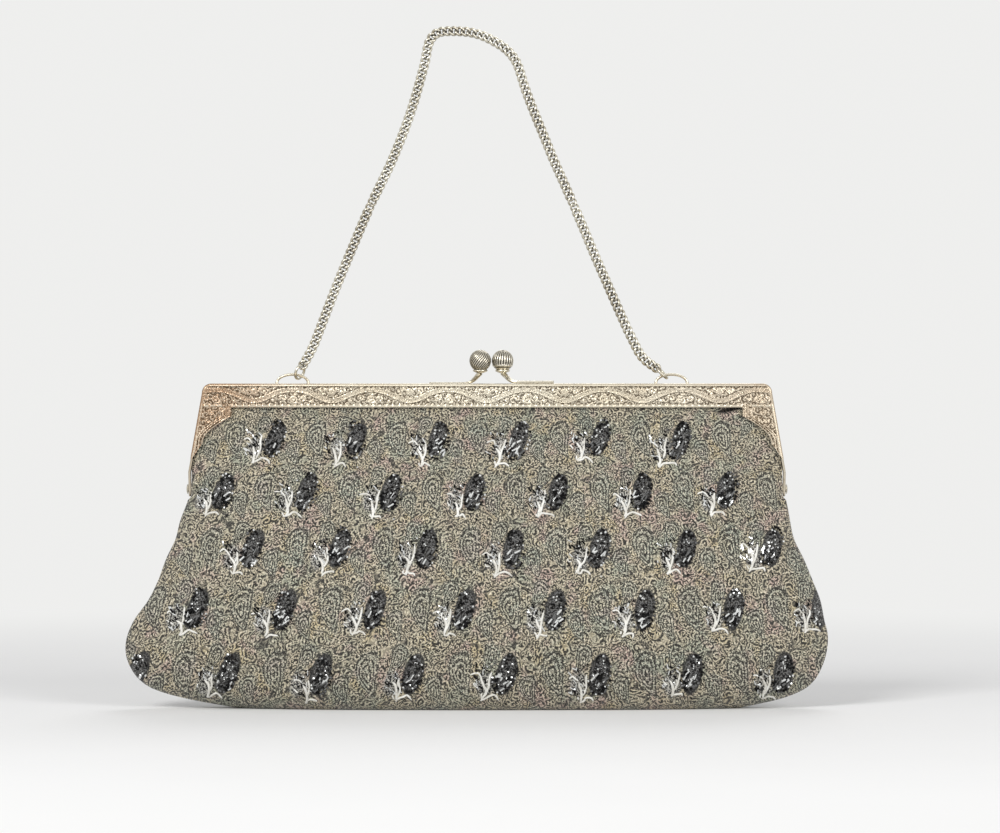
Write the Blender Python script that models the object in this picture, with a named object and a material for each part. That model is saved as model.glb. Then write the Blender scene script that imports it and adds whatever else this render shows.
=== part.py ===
"""Beaded evening bag: a cloth pouch on a hinged sheet-metal frame, with a kiss clasp and a curb chain.

The bag stands on its flat base. +X is to the right seen from the front, the front faces -Y and +Z is up.
The origin is the middle of the base. Lengths are in metres. The two frame halves turn on the rivets, the
back half carries the lugs, and the chain swings on the lugs and folds at half its height.
"""
import math

import bmesh
import bpy
from mathutils import Vector

MM = 0.001

# Clearances
GAP = 0.3 * MM                  # between pieces that rest on each other
LAYER_GAP = 0.4 * MM            # between the outer cloth and the lining
SWING_ROOM = 1.4 * MM           # between the cloth on the frame and the pouch that it dips into
WELD = 0.001 * MM               # points closer than this become one

# Frame outline, seen from the front
FRAME_TOP = 114.8 * MM          # height of the rail's top above the base
CORNER_HALF = 100.0 * MM        # half width over the arms at the top
HINGE_HALF = 105.5 * MM         # half width over the arms at the hinge
HINGE_DROP = 37.3 * MM          # hinge axis below the rail's top
CORNER_RADIUS = 3.3 * MM
RAIL_FACE = 8.4 * MM            # height of the rail's face
BLOCK_WIDTH = 9.8 * MM          # ribbed block where the rail meets the arm
BLOCK_DROP = 3.1 * MM
SWEEP_DROP = 9.3 * MM           # curve that narrows the block to the arm
ARM_FACE = 3.4 * MM
FACE_LENGTH = 26.3 * MM         # embossed face of the arm, from the rail's top to its foot

# Frame section
FRAME_DEPTH = 5.5 * MM          # one half, from the meeting plane to its face
MEET_GAP = 0.15 * MM            # from the meeting plane to each half
SHEET = 0.8 * MM
EDGE_ROUND = 0.6 * MM
RAIL_LEG = 5.0 * MM             # inner leg of the channel along the rail
ARM_LEG = 3.0 * MM              # inner leg along the arm

# Hinge
EAR_RADIUS = 2.6 * MM
EAR_NECK = 6.0 * MM             # height above the axis where the arm has its full offset
RIVET_RADIUS = 1.0 * MM
RIVET_HEAD_RADIUS = 1.8 * MM
RIVET_HEAD = 0.6 * MM

# Clasp
BALL_RADIUS = 3.75 * MM
BALL_PASS = 0.4 * MM            # between the balls, side by side
CLASP_OFFSET = 1.55 * MM        # middle of the clasp right of the bag's middle
BALL_LEAN = 1.0 * MM            # each ball stands this far over the other half
BALL_RISE = 8.1 * MM            # centre of the balls above the rail's top
FLUTES = 12
FLUTE_DEPTH_SHARE = 0.09
FLUTE_TURN = math.radians(60)   # turn of a flute from pole to pole
CUP_RADIUS = 2.3 * MM
CUP_WALL = 0.6 * MM
FOOT_REACH = 18.1 * MM          # from the ball to the end of its foot
FOOT_HALF_WIDTH = 1.5 * MM
FOOT_THICKNESS = 1.1 * MM
NECK_THICKNESS = 1.6 * MM

# Lugs and jump rings
LUG_PLACE = 67.2 * MM           # lug's middle from the middle between the lugs
LUG_SHIFT = -1.8 * MM           # middle between the lugs, right of the bag's middle
LUG_HALF_WIDTH = 5.57 * MM      # to the wire's centre line
LUG_RISE = 2.97 * MM
LUG_WIRE = 0.43 * MM
RING_RADIUS = 2.5 * MM          # to the wire's centre line
RING_WIRE = 0.5 * MM
RING_PLAY = 0.35 * MM           # between a ring and its lug
LINK_PLAY = 0.4 * MM            # between a ring and the first link
LEFT_TURN = math.radians(60)    # turn of a ring out of the bag's plane
RIGHT_TURN = math.radians(80)
LEFT_HOOK_SHARE = 0.38          # where a ring hangs, as a share of the lug's half width
RIGHT_HOOK_SHARE = 0.45
LEFT_LEAN = math.radians(22)    # lean of a ring towards the bag's middle
RIGHT_LEAN = math.radians(45)

# Chain
CHAIN_RISE = 125.0 * MM         # centre line of the chain's top above the rail
LINK_WIRE = 0.42 * MM           # to the corners of the wire's section
LINK_HALF_LENGTH = 1.6 * MM
LINK_HALF_WIDTH = 1.3 * MM
LINK_TWIST = math.radians(55)
LINK_PITCH = 2.17 * MM          # the most that one link can add
FOLD_DROP = 61.5 * MM           # chain's fold axis below its top
LOOP_DROP = 7.0 * MM            # height of the chain's top run

# Pouch
BASE_HALF = 88.0 * MM
BASE_DEPTH = 9.5 * MM
BELLY_Z = 24.0 * MM
BELLY_HALF = 124.1 * MM
BELLY_DEPTH = 19.0 * MM
RIM_DROP = 2.5 * MM             # pouch's rim below the hinge axis
RIM_SIDE_DROP = 0.8 * MM        # the rim dips by this under the ears
RIM_DEPTH = 9.6 * MM
OUTER_CLOTH = 1.2 * MM          # beaded cloth with its backing
LINING_CLOTH = 0.6 * MM
LINING_RIM_DROP = 1.2 * MM
EDGE_DEPTH = 4.2 * MM           # face of the cloth in the rail's channel, from the meeting plane
SIDE_DEPTH = 3.3 * MM           # and beside the ears
CLOTH_TUCK = 4.1 * MM           # from the rail's foot up into the channel
CORD_RADIUS = 1.2 * MM
LENS_BELLY_POWER = 2.8          # fuller sides as this rises
LENS_RIM_POWER = 6.0
LENS_BELLY_ROUND = 0.75
LENS_RIM_ROUND = 0.60
RIM_DIP_SHARES = (0.80, 0.15)   # where the pouch's rim starts to dip, and over how much of its half width
PANEL_LIFT_SHARES = (0.82, 0.10)    # the same for the foot of the cloth on the frame, which lifts

# Counts
CORNER_STEPS = 3
CLOTH_COLUMNS = 12
BASE_ROWS = 4
WALL_ROWS = 4
PANEL_ROWS = 6
LINK_POINTS = 8
LINK_SIDES = 4
WIRE_SIDES = 6
RING_POINTS = 14
TURN_STEPS = 12
BALL_BANDS = 8
LUG_STEPS = 10
ROUTE_STEPS = 24

HINGE_Z = FRAME_TOP - HINGE_DROP
FACE_FOOT = FRAME_TOP - FACE_LENGTH
RAIL_FOOT = FRAME_TOP - RAIL_FACE
BLOCK_FOOT = RAIL_FOOT - BLOCK_DROP
BACK_TOP_Y = (MEET_GAP + FRAME_DEPTH) / 2
LUG_AXIS_Z = FRAME_TOP + GAP + LUG_RISE
FOLD_Z = FRAME_TOP + CHAIN_RISE - FOLD_DROP
RIM_Z = HINGE_Z - RIM_DROP
RIM_HALF = HINGE_HALF + GAP
BALL_Z = FRAME_TOP + BALL_RISE

COLOURS = {
    "silvered": ((0.62, 0.56, 0.47), 0.34, 1.0),
    "chain": ((0.66, 0.64, 0.58), 0.30, 1.0),
    "brocade": ((0.33, 0.31, 0.26), 0.75, 0.0),
    "lining": ((0.62, 0.57, 0.47), 0.55, 0.0),
    "paper": ((0.60, 0.50, 0.38), 0.90, 0.0),
}

pivots = {}


def clear_scene():
    for thing in list(bpy.data.objects):
        bpy.data.objects.remove(thing, do_unlink=True)


def make_material(name):
    colour, roughness, metallic = COLOURS[name]
    material = bpy.data.materials.new(name)
    material.use_nodes = True
    shader = material.node_tree.nodes["Principled BSDF"]
    shader.inputs["Base Color"].default_value = (*colour, 1.0)
    shader.inputs["Roughness"].default_value = roughness
    shader.inputs["Metallic"].default_value = metallic
    return material


def make_pivot(name, place, parent=None):
    """An empty on a joint's axis; its pieces are parented to it."""
    empty = bpy.data.objects.new(name, None)
    bpy.context.scene.collection.objects.link(empty)
    start = pivots[parent][1] if parent else Vector()
    if parent:
        empty.parent = pivots[parent][0]
    empty.location = place - start
    pivots[name] = (empty, place)


def add_piece(name, bm, material, pivot=None, sharp=math.radians(35)):
    """Turns a finished bmesh, modelled in place, into a named piece on its pivot."""
    bmesh.ops.remove_doubles(bm, verts=bm.verts, dist=WELD)
    bmesh.ops.recalc_face_normals(bm, faces=bm.faces)
    if pivot:
        bmesh.ops.translate(bm, verts=bm.verts, vec=-pivots[pivot][1])
    mesh = bpy.data.meshes.new(name)
    bm.to_mesh(mesh)
    bm.free()
    mesh.shade_smooth()
    mesh.set_sharp_from_angle(angle=sharp)
    mesh.materials.append(materials[material])
    piece = bpy.data.objects.new(name, mesh)
    bpy.context.scene.collection.objects.link(piece)
    if pivot:
        piece.parent = pivots[pivot][0]
    return piece


def loft(bm, rings, closed=False):
    """Skins a row of equal rings of points; an open row gets flat ends."""
    rows = [[bm.verts.new(point) for point in ring] for ring in rings]
    count = len(rows[0])
    pairs = list(zip(rows, rows[1:]))
    if closed:
        pairs.append((rows[-1], rows[0]))
    for low, high in pairs:
        for i in range(count):
            j = (i + 1) % count
            bm.faces.new((low[i], low[j], high[j], high[i]))
    if not closed:
        bm.faces.new(rows[0])
        bm.faces.new(rows[-1])
    return rows


def revolve(bm, profile, centre, axis, segments):
    """Turns a profile of (distance along the axis, radius) into a solid; its ends lie on the axis."""
    side = axis.orthogonal().normalized()
    other = axis.cross(side)
    rings = []
    for along, radius in profile:
        ring = []
        for i in range(segments):
            angle = math.tau * i / segments
            around = side * math.cos(angle) + other * math.sin(angle)
            ring.append(centre + axis * along + around * radius)
        rings.append(ring)
    loft(bm, rings)


def wire_rings(centres, radius, sides, plane_normal, closed=False):
    """Round sections along a flat path."""
    rings = []
    last = len(centres) - 1
    for i, centre in enumerate(centres):
        before = centres[i - 1] if closed else centres[max(i - 1, 0)]
        after = centres[(i + 1) % len(centres)] if closed else centres[min(i + 1, last)]
        tangent = (after - before).normalized()
        across = plane_normal.cross(tangent).normalized()
        ring = []
        for k in range(sides):
            angle = math.tau * k / sides
            ring.append(centre + across * radius * math.cos(angle) + plane_normal * radius * math.sin(angle))
        rings.append(ring)
    return rings


def smooth(share):
    share = min(max(share, 0.0), 1.0)
    return share * share * (3 - 2 * share)


def mix(low, high, share):
    return low + (high - low) * share


# Frame

def arm_half(z):
    """Half width over the arms, which splay from the top corner down to the ears."""
    neck = HINGE_Z + EAR_NECK
    return mix(HINGE_HALF, CORNER_HALF, max(z - neck, 0) / (FRAME_TOP - neck))


def arm_depth(z):
    """Depth of the arm's plate, from the ear up to the channel."""
    return mix(EAR_RADIUS, FRAME_DEPTH, max(z - HINGE_Z, 0) / (FACE_FOOT - HINGE_Z))


def face_half(z):
    """Half width to the inner edge of the embossed face, which widens into the corner block."""
    block_x = CORNER_HALF - BLOCK_WIDTH
    if z >= BLOCK_FOOT:
        return block_x
    share = min((BLOCK_FOOT - z) / SWEEP_DROP, 1)
    narrow_x = arm_half(min(z, BLOCK_FOOT - SWEEP_DROP)) - ARM_FACE
    return mix(block_x, narrow_x, math.sin(math.pi / 2 * share))


def plate_station(x, z, depth, meet):
    """A flat stretch of the arm: no face leg and no inner leg."""
    inside = (x - SHEET, z)
    return {"outer": (x, z), "face": inside, "leg": inside, "inward": (-1, 0), "depth": depth, "meet": meet,
            "sheet": 0}


def channel_station(outer, face, leg, inward=(-1, 0)):
    return {"outer": outer, "face": face, "leg": leg, "inward": inward, "depth": FRAME_DEPTH, "meet": MEET_GAP,
            "sheet": SHEET}


def half_stations(ear_inset):
    """Sections of one side, from the ear's foot up to the end of the corner block on the rail."""
    stations = []
    ear_x = HINGE_HALF - ear_inset
    for angle in (-70, -35, 0, 30, 60):
        height = EAR_RADIUS * math.sin(math.radians(angle))
        reach = EAR_RADIUS * math.cos(math.radians(angle))
        depth = reach if angle < 0 else arm_depth(HINGE_Z + height)
        stations.append(plate_station(ear_x, HINGE_Z + height, depth, -reach))
    neck = HINGE_Z + EAR_NECK
    stations.append(plate_station(ear_x, neck, arm_depth(neck), MEET_GAP))
    foot_half = arm_half(FACE_FOOT)
    stations.append(plate_station(foot_half, FACE_FOOT - EDGE_ROUND, FRAME_DEPTH, MEET_GAP))
    stations.append(channel_station((foot_half, FACE_FOOT), (foot_half - ARM_FACE, FACE_FOOT),
                                    (foot_half - ARM_LEG, FACE_FOOT)))
    # the face widens into the corner block on a curve
    block_x = CORNER_HALF - BLOCK_WIDTH
    for share in (1, 0.75, 0.5, 0.25, 0):
        z = BLOCK_FOOT - SWEEP_DROP * share
        stations.append(channel_station((arm_half(z), z), (face_half(z), z), (arm_half(z) - ARM_LEG, z)))
    stations.append(channel_station((arm_half(RAIL_FOOT), RAIL_FOOT), (block_x, RAIL_FOOT),
                                    (arm_half(RAIL_FOOT) - ARM_LEG, RAIL_FOOT)))
    # the rounded corner
    arc_z = FRAME_TOP - CORNER_RADIUS
    arc_x = arm_half(arc_z) - CORNER_RADIUS
    leg_corner = (CORNER_HALF - RAIL_LEG, FRAME_TOP - RAIL_LEG)
    for i in range(CORNER_STEPS + 1):
        angle = math.pi / 2 * i / CORNER_STEPS
        turn = (math.cos(angle), math.sin(angle))
        outer = (arc_x + CORNER_RADIUS * turn[0], arc_z + CORNER_RADIUS * turn[1])
        stations.append(channel_station(outer, (block_x, RAIL_FOOT), leg_corner, (-turn[0], -turn[1])))
    stations.append(channel_station((leg_corner[0], FRAME_TOP), (block_x, RAIL_FOOT), leg_corner, (0, -1)))
    stations.append(channel_station((block_x, FRAME_TOP), (block_x, RAIL_FOOT), (block_x, FRAME_TOP - RAIL_LEG),
                                    (0, -1)))
    return stations


def station_ring(station, mirror, side):
    """The closed outline of the channel at a station; side is -1 on the front half, 1 on the back half."""
    outer = Vector(station["outer"])
    inward = Vector(station["inward"])
    depth = station["depth"]
    meet = station["meet"]
    sheet = station["sheet"]
    bend = EDGE_ROUND * (1 - math.cos(math.pi / 4))
    corner = outer + inward * SHEET
    outline = [
        (outer, depth - EDGE_ROUND),
        (outer + inward * bend, depth - bend),
        (outer + inward * EDGE_ROUND, depth),
        (Vector(station["face"]), depth),
        (Vector(station["face"]), depth - sheet),
        (corner, depth - sheet),
        (corner, meet + sheet),
        (Vector(station["leg"]), meet + sheet),
        (Vector(station["leg"]), meet),
        (outer, meet),
    ]
    return [Vector((mirror * point.x, side * away, point.y)) for point, away in outline]


def make_frame_half(name, side, pivot, ear_inset):
    stations = half_stations(ear_inset)
    rings = [station_ring(station, -1, side) for station in stations]
    rings += [station_ring(station, 1, side) for station in reversed(stations)]
    bm = bmesh.new()
    loft(bm, rings)
    half = add_piece(name, bm, "silvered", pivot)
    drill = bmesh.new()
    reach = HINGE_HALF + SHEET
    hole = RIVET_RADIUS + GAP
    revolve(drill, [(-reach, hole), (reach, hole)], Vector((0, 0, HINGE_Z)), Vector((1, 0, 0)), TURN_STEPS)
    cutter = add_piece(name + "_drill", drill, "silvered", pivot)
    cutter.hide_render = True
    cutter.display_type = "WIRE"
    cut = half.modifiers.new("rivet_holes", "BOOLEAN")
    cut.operation = "DIFFERENCE"
    cut.object = cutter


def make_rivet(name, mirror):
    """A shaft through both ears, with a low head at each end."""
    outside = HINGE_HALF + GAP
    inside = HINGE_HALF - 2 * SHEET - 2 * GAP
    dome = RIVET_HEAD / 2
    profile = [
        (inside - RIVET_HEAD, RIVET_HEAD_RADIUS - dome),
        (inside - dome, RIVET_HEAD_RADIUS),
        (inside, RIVET_HEAD_RADIUS),
        (inside, RIVET_RADIUS),
        (outside, RIVET_RADIUS),
        (outside, RIVET_HEAD_RADIUS),
        (outside + dome, RIVET_HEAD_RADIUS),
        (outside + RIVET_HEAD, RIVET_HEAD_RADIUS - dome),
    ]
    bm = bmesh.new()
    revolve(bm, profile, Vector((0, 0, HINGE_Z)), Vector((mirror, 0, 0)), TURN_STEPS)
    add_piece(name, bm, "silvered")


def make_rail_cord(name, side, pivot):
    """Paper cord that fills the channel above the cloth's edge."""
    half = CORNER_HALF - CORNER_RADIUS - RAIL_LEG
    centre = Vector((0, side * BACK_TOP_Y, FRAME_TOP - SHEET - GAP - CORD_RADIUS))
    bm = bmesh.new()
    revolve(bm, [(-half, CORD_RADIUS), (half, CORD_RADIUS)], centre, Vector((1, 0, 0)), LINK_POINTS)
    add_piece(name, bm, "paper", pivot)


# Clasp

def make_ball(name, centre, pivot):
    """A ball with slanting flutes."""
    bm = bmesh.new()
    rings = []
    for i in range(1, BALL_BANDS):
        polar = math.pi * i / BALL_BANDS
        ring = []
        for j in range(2 * FLUTES):
            radius = BALL_RADIUS * (1 - FLUTE_DEPTH_SHARE * (j % 2) * math.sin(polar))
            angle = math.tau * j / (2 * FLUTES) + FLUTE_TURN * i / BALL_BANDS
            ring.append(centre + Vector((radius * math.sin(polar) * math.cos(angle),
                                         radius * math.sin(polar) * math.sin(angle), radius * math.cos(polar))))
        rings.append(ring)
    rows = loft(bm, rings)
    for row, height in ((rows[0], BALL_RADIUS), (rows[-1], -BALL_RADIUS)):
        cap = next(face for face in bm.faces if len(face.verts) > LINK_SIDES and row[0] in face.verts)
        pole = bmesh.ops.poke(bm, faces=[cap])["verts"][0]
        pole.co = centre + Vector((0, 0, height))
    add_piece(name, bm, "silvered", pivot)


def make_cup(name, centre, pivot):
    """The dish under a ball, one gap away from it."""
    inner = BALL_RADIUS + GAP
    outer = inner + CUP_WALL
    rise = [CUP_RADIUS * share for share in (0.02, 0.5, 1)]
    profile = [(-math.sqrt(outer ** 2 - radius ** 2), radius) for radius in rise]
    profile += [(-math.sqrt(inner ** 2 - radius ** 2), radius) for radius in reversed(rise)]
    bm = bmesh.new()
    revolve(bm, profile, centre, Vector((0, 0, 1)), TURN_STEPS)
    add_piece(name, bm, "silvered", pivot)


def make_clasp_arm(name, centre, direction, foot_y, pivot):
    """From a flat foot on the rail, bent up and across to the cup."""
    top = centre.z - BALL_RADIUS - 2 * GAP - CUP_WALL
    low = FRAME_TOP + GAP + FOOT_THICKNESS / 2
    # shares of the reach, of the rise, of the way across, and of the change from foot to neck
    route_shares = ((1, 0, 0, 0), (0.26, 0, 0, 0), (0.19, 0.10, 0.08, 0.3), (0.12, 0.38, 0.35, 0.7),
                    (0.045, 0.75, 0.8, 1), (0, 1, 1, 1))
    points = []
    for reach, rise, across, _ in route_shares:
        points.append(Vector((centre.x + direction * FOOT_REACH * reach, mix(foot_y, centre.y, across),
                              mix(low, top, rise))))
    rings = []
    for i, point in enumerate(points):
        tangent = (points[min(i + 1, len(points) - 1)] - points[max(i - 1, 0)]).normalized()
        if i == len(points) - 1:
            tangent = Vector((0, 0, 1))
        wide = (Vector((0, 1, 0)) - tangent * tangent.y).normalized()
        thick = tangent.cross(wide)
        half_width = mix(FOOT_HALF_WIDTH, NECK_THICKNESS / 2, route_shares[i][3])
        half_thick = mix(FOOT_THICKNESS, NECK_THICKNESS, route_shares[i][3]) / 2
        ring = []
        for k in range(LINK_POINTS):
            angle = math.tau * (k + 0.5) / LINK_POINTS
            across = math.copysign(math.sqrt(abs(math.cos(angle))), math.cos(angle))
            away = math.copysign(math.sqrt(abs(math.sin(angle))), math.sin(angle))
            ring.append(point + wide * half_width * across + thick * half_thick * away)
        rings.append(ring)
    bm = bmesh.new()
    loft(bm, rings)
    add_piece(name, bm, "silvered", pivot)


def make_clasp():
    reach = BALL_RADIUS + BALL_PASS / 2
    for name, direction, lean, side in (("front", 1, BALL_LEAN, -1), ("back", -1, -BALL_LEAN, 1)):
        centre = Vector((CLASP_OFFSET + direction * reach, lean, BALL_Z))
        pivot = name + "_hinge"
        make_ball(name + "_clasp_ball", centre, pivot)
        make_cup(name + "_ball_cup", centre, pivot)
        make_clasp_arm(name + "_clasp_arm", centre, direction, side * BACK_TOP_Y, pivot)


# Lugs, rings and chain

def make_lug(name, mirror):
    """A wire half loop that stands on the back half."""
    centres = []
    for i in range(LUG_STEPS + 1):
        angle = math.pi * i / LUG_STEPS
        centres.append(Vector((mirror * LUG_PLACE + LUG_SHIFT + LUG_HALF_WIDTH * math.cos(angle), BACK_TOP_Y,
                               FRAME_TOP + GAP + LUG_RISE * math.sin(angle))))
    bm = bmesh.new()
    loft(bm, wire_rings(centres, LUG_WIRE, WIRE_SIDES, Vector((0, 1, 0))))
    add_piece(name, bm, "silvered", "back_hinge")


def ring_layout(mirror):
    """A ring's centre, its long way up and the place where the first link starts."""
    lean = LEFT_LEAN if mirror < 0 else RIGHT_LEAN
    share = LEFT_HOOK_SHARE if mirror < 0 else RIGHT_HOOK_SHARE
    hook = Vector((mirror * (LUG_PLACE - LUG_HALF_WIDTH * share) + LUG_SHIFT, BACK_TOP_Y,
                   FRAME_TOP + GAP + LUG_RISE * math.sqrt(1 - share ** 2)))
    up = Vector((-mirror * math.sin(lean), 0, math.cos(lean)))
    centre = hook + up * (RING_RADIUS - LUG_WIRE - RING_WIRE - RING_PLAY)
    start = centre + up * (RING_RADIUS - RING_WIRE - LINK_PLAY + link_eye() - LINK_PITCH / 2)
    return centre, up, start


def link_eye():
    """From a link's middle to the inside of its end."""
    return LINK_HALF_LENGTH * math.cos(math.pi / LINK_POINTS) - LINK_WIRE * math.cos(math.pi / 4)


def make_ring(name, mirror):
    centre, up, _ = ring_layout(mirror)
    level = Vector((0, 1, 0)).cross(up)
    turn = LEFT_TURN if mirror < 0 else RIGHT_TURN
    across = level * math.cos(turn) + Vector((0, 1, 0)) * math.sin(turn)
    normal = up.cross(across)
    centres = []
    for i in range(RING_POINTS):
        angle = math.tau * i / RING_POINTS
        centres.append(centre + up * RING_RADIUS * math.cos(angle) + across * RING_RADIUS * math.sin(angle))
    bm = bmesh.new()
    loft(bm, wire_rings(centres, RING_WIRE, WIRE_SIDES, normal, closed=True), closed=True)
    add_piece(name, bm, "chain", "chain_swing")


def chain_route():
    """Centre line from the left ring over the top to the right ring, through points chosen by hand."""
    # shares of the lug's place to the side, and of the chain's rise upwards
    route_shares = (
        (-0.941, 0.081), (-0.911, 0.114), (-0.876, 0.163), (-0.804, 0.264), (-0.726, 0.366), (-0.619, 0.501),
        (-0.499, 0.636), (-0.402, 0.772), (-0.330, 0.907), (-0.315, 0.952), (-0.297, 0.979), (-0.262, 0.996),
        (-0.216, 1.0), (-0.152, 1.0), (-0.089, 0.997), (-0.027, 0.988), (0.031, 0.973), (0.089, 0.954),
        (0.134, 0.930), (0.165, 0.900), (0.200, 0.839), (0.247, 0.772), (0.299, 0.704), (0.350, 0.636),
        (0.406, 0.569), (0.461, 0.501), (0.515, 0.433), (0.567, 0.366), (0.650, 0.264), (0.733, 0.163),
        (0.775, 0.117), (0.802, 0.088), (0.833, 0.067), (0.869, 0.053),
    )
    points = [ring_layout(-1)[2]]
    for aside, rise in route_shares:
        points.append(Vector((LUG_PLACE * aside, BACK_TOP_Y, FRAME_TOP + CHAIN_RISE * rise)))
    points.append(ring_layout(1)[2])
    route = []
    for i in range(len(points) - 1):
        before = points[max(i - 1, 0)]
        after = points[min(i + 2, len(points) - 1)]
        start, end = points[i], points[i + 1]
        for k in range(ROUTE_STEPS):
            t = k / ROUTE_STEPS
            route.append((start * 2 + (end - before) * t + (before * 2 - start * 5 + end * 4 - after) * t ** 2
                          + (start * 3 - before - end * 3 + after) * t ** 3) / 2)
    route.append(points[-1])
    return route


def split_route(route):
    """The route in three stretches: left below the fold axis, all above it, right below it."""
    above = [i for i, point in enumerate(route) if point.z > FOLD_Z]
    stretches = []
    crossings = []
    for low, high in ((above[0] - 1, above[0]), (above[-1] + 1, above[-1])):
        share = (FOLD_Z - route[low].z) / (route[high].z - route[low].z)
        crossings.append(route[low].lerp(route[high], share))
    stretches.append(route[:above[0]] + [crossings[0]])
    stretches.append([crossings[0]] + route[above[0]:above[-1] + 1] + [crossings[1]])
    stretches.append([crossings[1]] + route[above[-1] + 1:])
    return stretches


def even_places(stretch):
    """Places of the contacts between links: equal steps along a stretch, none over the pitch."""
    lengths = [0.0]
    for start, end in zip(stretch, stretch[1:]):
        lengths.append(lengths[-1] + (end - start).length)
    count = math.ceil(lengths[-1] / LINK_PITCH)
    places = []
    index = 0
    for i in range(count + 1):
        wanted = lengths[-1] * i / count
        while index < len(stretch) - 2 and lengths[index + 1] < wanted:
            index += 1
        share = (wanted - lengths[index]) / (lengths[index + 1] - lengths[index])
        places.append(stretch[index].lerp(stretch[index + 1], share))
    return places


def add_link(bm, start, end):
    """A twisted oval link between two contacts; returns the inner faces of its two ends."""
    along = (end - start).normalized()
    middle = (start + end) / 2
    wide = Vector((0, 1, 0)).cross(along).normalized()
    high = along.cross(wide)
    rings = []
    for k in range(LINK_POINTS):
        angle = math.tau * (k + 0.5) / LINK_POINTS
        centre, tangent = link_point(angle)
        inward = (-centre + tangent * tangent.dot(centre)).normalized()
        across = tangent.cross(inward)
        ring = []
        for corner in range(LINK_SIDES):
            spin = math.tau * (corner + 0.5) / LINK_SIDES
            local = centre + (inward * math.cos(spin) + across * math.sin(spin)) * LINK_WIRE
            ring.append(middle + along * local.x + wide * local.y + high * local.z)
        rings.append(ring)
    rows = loft(bm, rings, closed=True)
    ends = []
    for first in (LINK_POINTS - 1, LINK_POINTS // 2 - 1):
        second = (first + 1) % LINK_POINTS
        corners = {rows[first][0], rows[first][-1], rows[second][0], rows[second][-1]}
        ends.append(next(face for face in rows[first][0].link_faces if set(face.verts) == corners))
    return ends


def link_point(angle):
    """Centre line of a link in its own axes, and its direction there."""
    def place(t):
        twist = LINK_TWIST * math.cos(t)
        side = LINK_HALF_WIDTH * math.sin(t)
        return Vector((LINK_HALF_LENGTH * math.cos(t), side * math.cos(twist), side * math.sin(twist)))
    step = math.radians(1)
    return place(angle), (place(angle + step) - place(angle - step)).normalized()


def join_links(bm, right_end, left_end):
    """Fuses two links where they bear on each other."""
    first = [loop.vert for loop in right_end.loops]
    second = [loop.vert for loop in left_end.loops]
    orders = []
    for row in (second, second[::-1]):
        for shift in range(LINK_SIDES):
            order = row[shift:] + row[:shift]
            orders.append((sum((a.co - b.co).length for a, b in zip(first, order)), order))
    order = min(orders, key=lambda entry: entry[0])[1]
    bm.faces.remove(right_end)
    bm.faces.remove(left_end)
    for i in range(LINK_SIDES):
        j = (i + 1) % LINK_SIDES
        bm.faces.new((first[i], first[j], order[j], order[i]))


def make_run(name, places, pivot):
    """A run of links, each fused to the next where they touch."""
    bm = bmesh.new()
    previous = None
    for start, end in zip(places, places[1:]):
        right_end, left_end = add_link(bm, start, end)
        if previous:
            join_links(bm, previous, left_end)
        previous = right_end
    add_piece(name, bm, "chain", pivot, sharp=math.radians(60))


def make_chain():
    left, upper, right = [even_places(stretch) for stretch in split_route(chain_route())]
    loop_z = FRAME_TOP + CHAIN_RISE - LOOP_DROP
    low = next(i for i, place in enumerate(upper) if place.z > loop_z)
    high = len(upper) - 1 - next(i for i, place in enumerate(reversed(upper)) if place.z > loop_z)
    runs = (
        ("chain_left_lower", left, "chain_swing"),
        ("chain_left_upper", upper[:low + 1], "chain_fold"),
        ("chain_top", upper[low:high + 1], "chain_fold"),
        ("chain_right_upper", upper[high:], "chain_fold"),
        ("chain_right_lower", right, "chain_swing"),
    )
    for name, places, pivot in runs:
        make_run(name, places, pivot)


# Cloth

def lens(share, height):
    """Fullness of the pouch's plan at a share of its half width; height runs from belly to rim."""
    power = mix(LENS_BELLY_POWER, LENS_RIM_POWER, smooth(height))
    roundness = mix(LENS_BELLY_ROUND, LENS_RIM_ROUND, smooth(height))
    return max(1 - abs(share) ** power, 0) ** roundness


def column_shares():
    """Closer together towards the sides."""
    return [math.sin(math.pi / 2 * (2 * j / CLOTH_COLUMNS - 1)) for j in range(CLOTH_COLUMNS + 1)]


def pouch_grid(inset, rim_drop, side):
    """Surface of one half of the pouch, an inset inside its outer face, from the rim down and under."""
    shares = column_shares()
    rows = []
    for i in range(WALL_ROWS, -1, -1):
        height = i / WALL_ROWS
        swell = (1 + math.cos(math.pi * height)) / 2
        half = mix(RIM_HALF, BELLY_HALF, swell) - inset
        depth = mix(RIM_DEPTH, BELLY_DEPTH, swell) - inset
        row = []
        for share in shares:
            dip = RIM_SIDE_DROP * smooth((abs(share) - RIM_DIP_SHARES[0]) / RIM_DIP_SHARES[1]) + rim_drop
            z = mix(BELLY_Z, RIM_Z - dip, height)
            row.append(Vector((half * share, side * (MEET_GAP + (depth - MEET_GAP) * lens(share, height)), z)))
        rows.append(row)
    for i in range(BASE_ROWS - 1, -1, -1):
        angle = math.pi / 2 * i / BASE_ROWS
        half = mix(BASE_HALF, BELLY_HALF, math.sin(angle)) - inset
        depth = mix(BASE_DEPTH, BELLY_DEPTH, math.sin(angle)) - inset
        z = inset + (BELLY_Z - inset) * (1 - math.cos(angle))
        rows.append([Vector((half * share, side * (MEET_GAP + (depth - MEET_GAP) * lens(share, 0)), z))
                     for share in shares])
    for share in (0.5, 0):
        rows.append([Vector((point.x, mix(side * MEET_GAP, point.y, share), point.z))
                     for point in rows[WALL_ROWS + BASE_ROWS]])
    return rows


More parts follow.
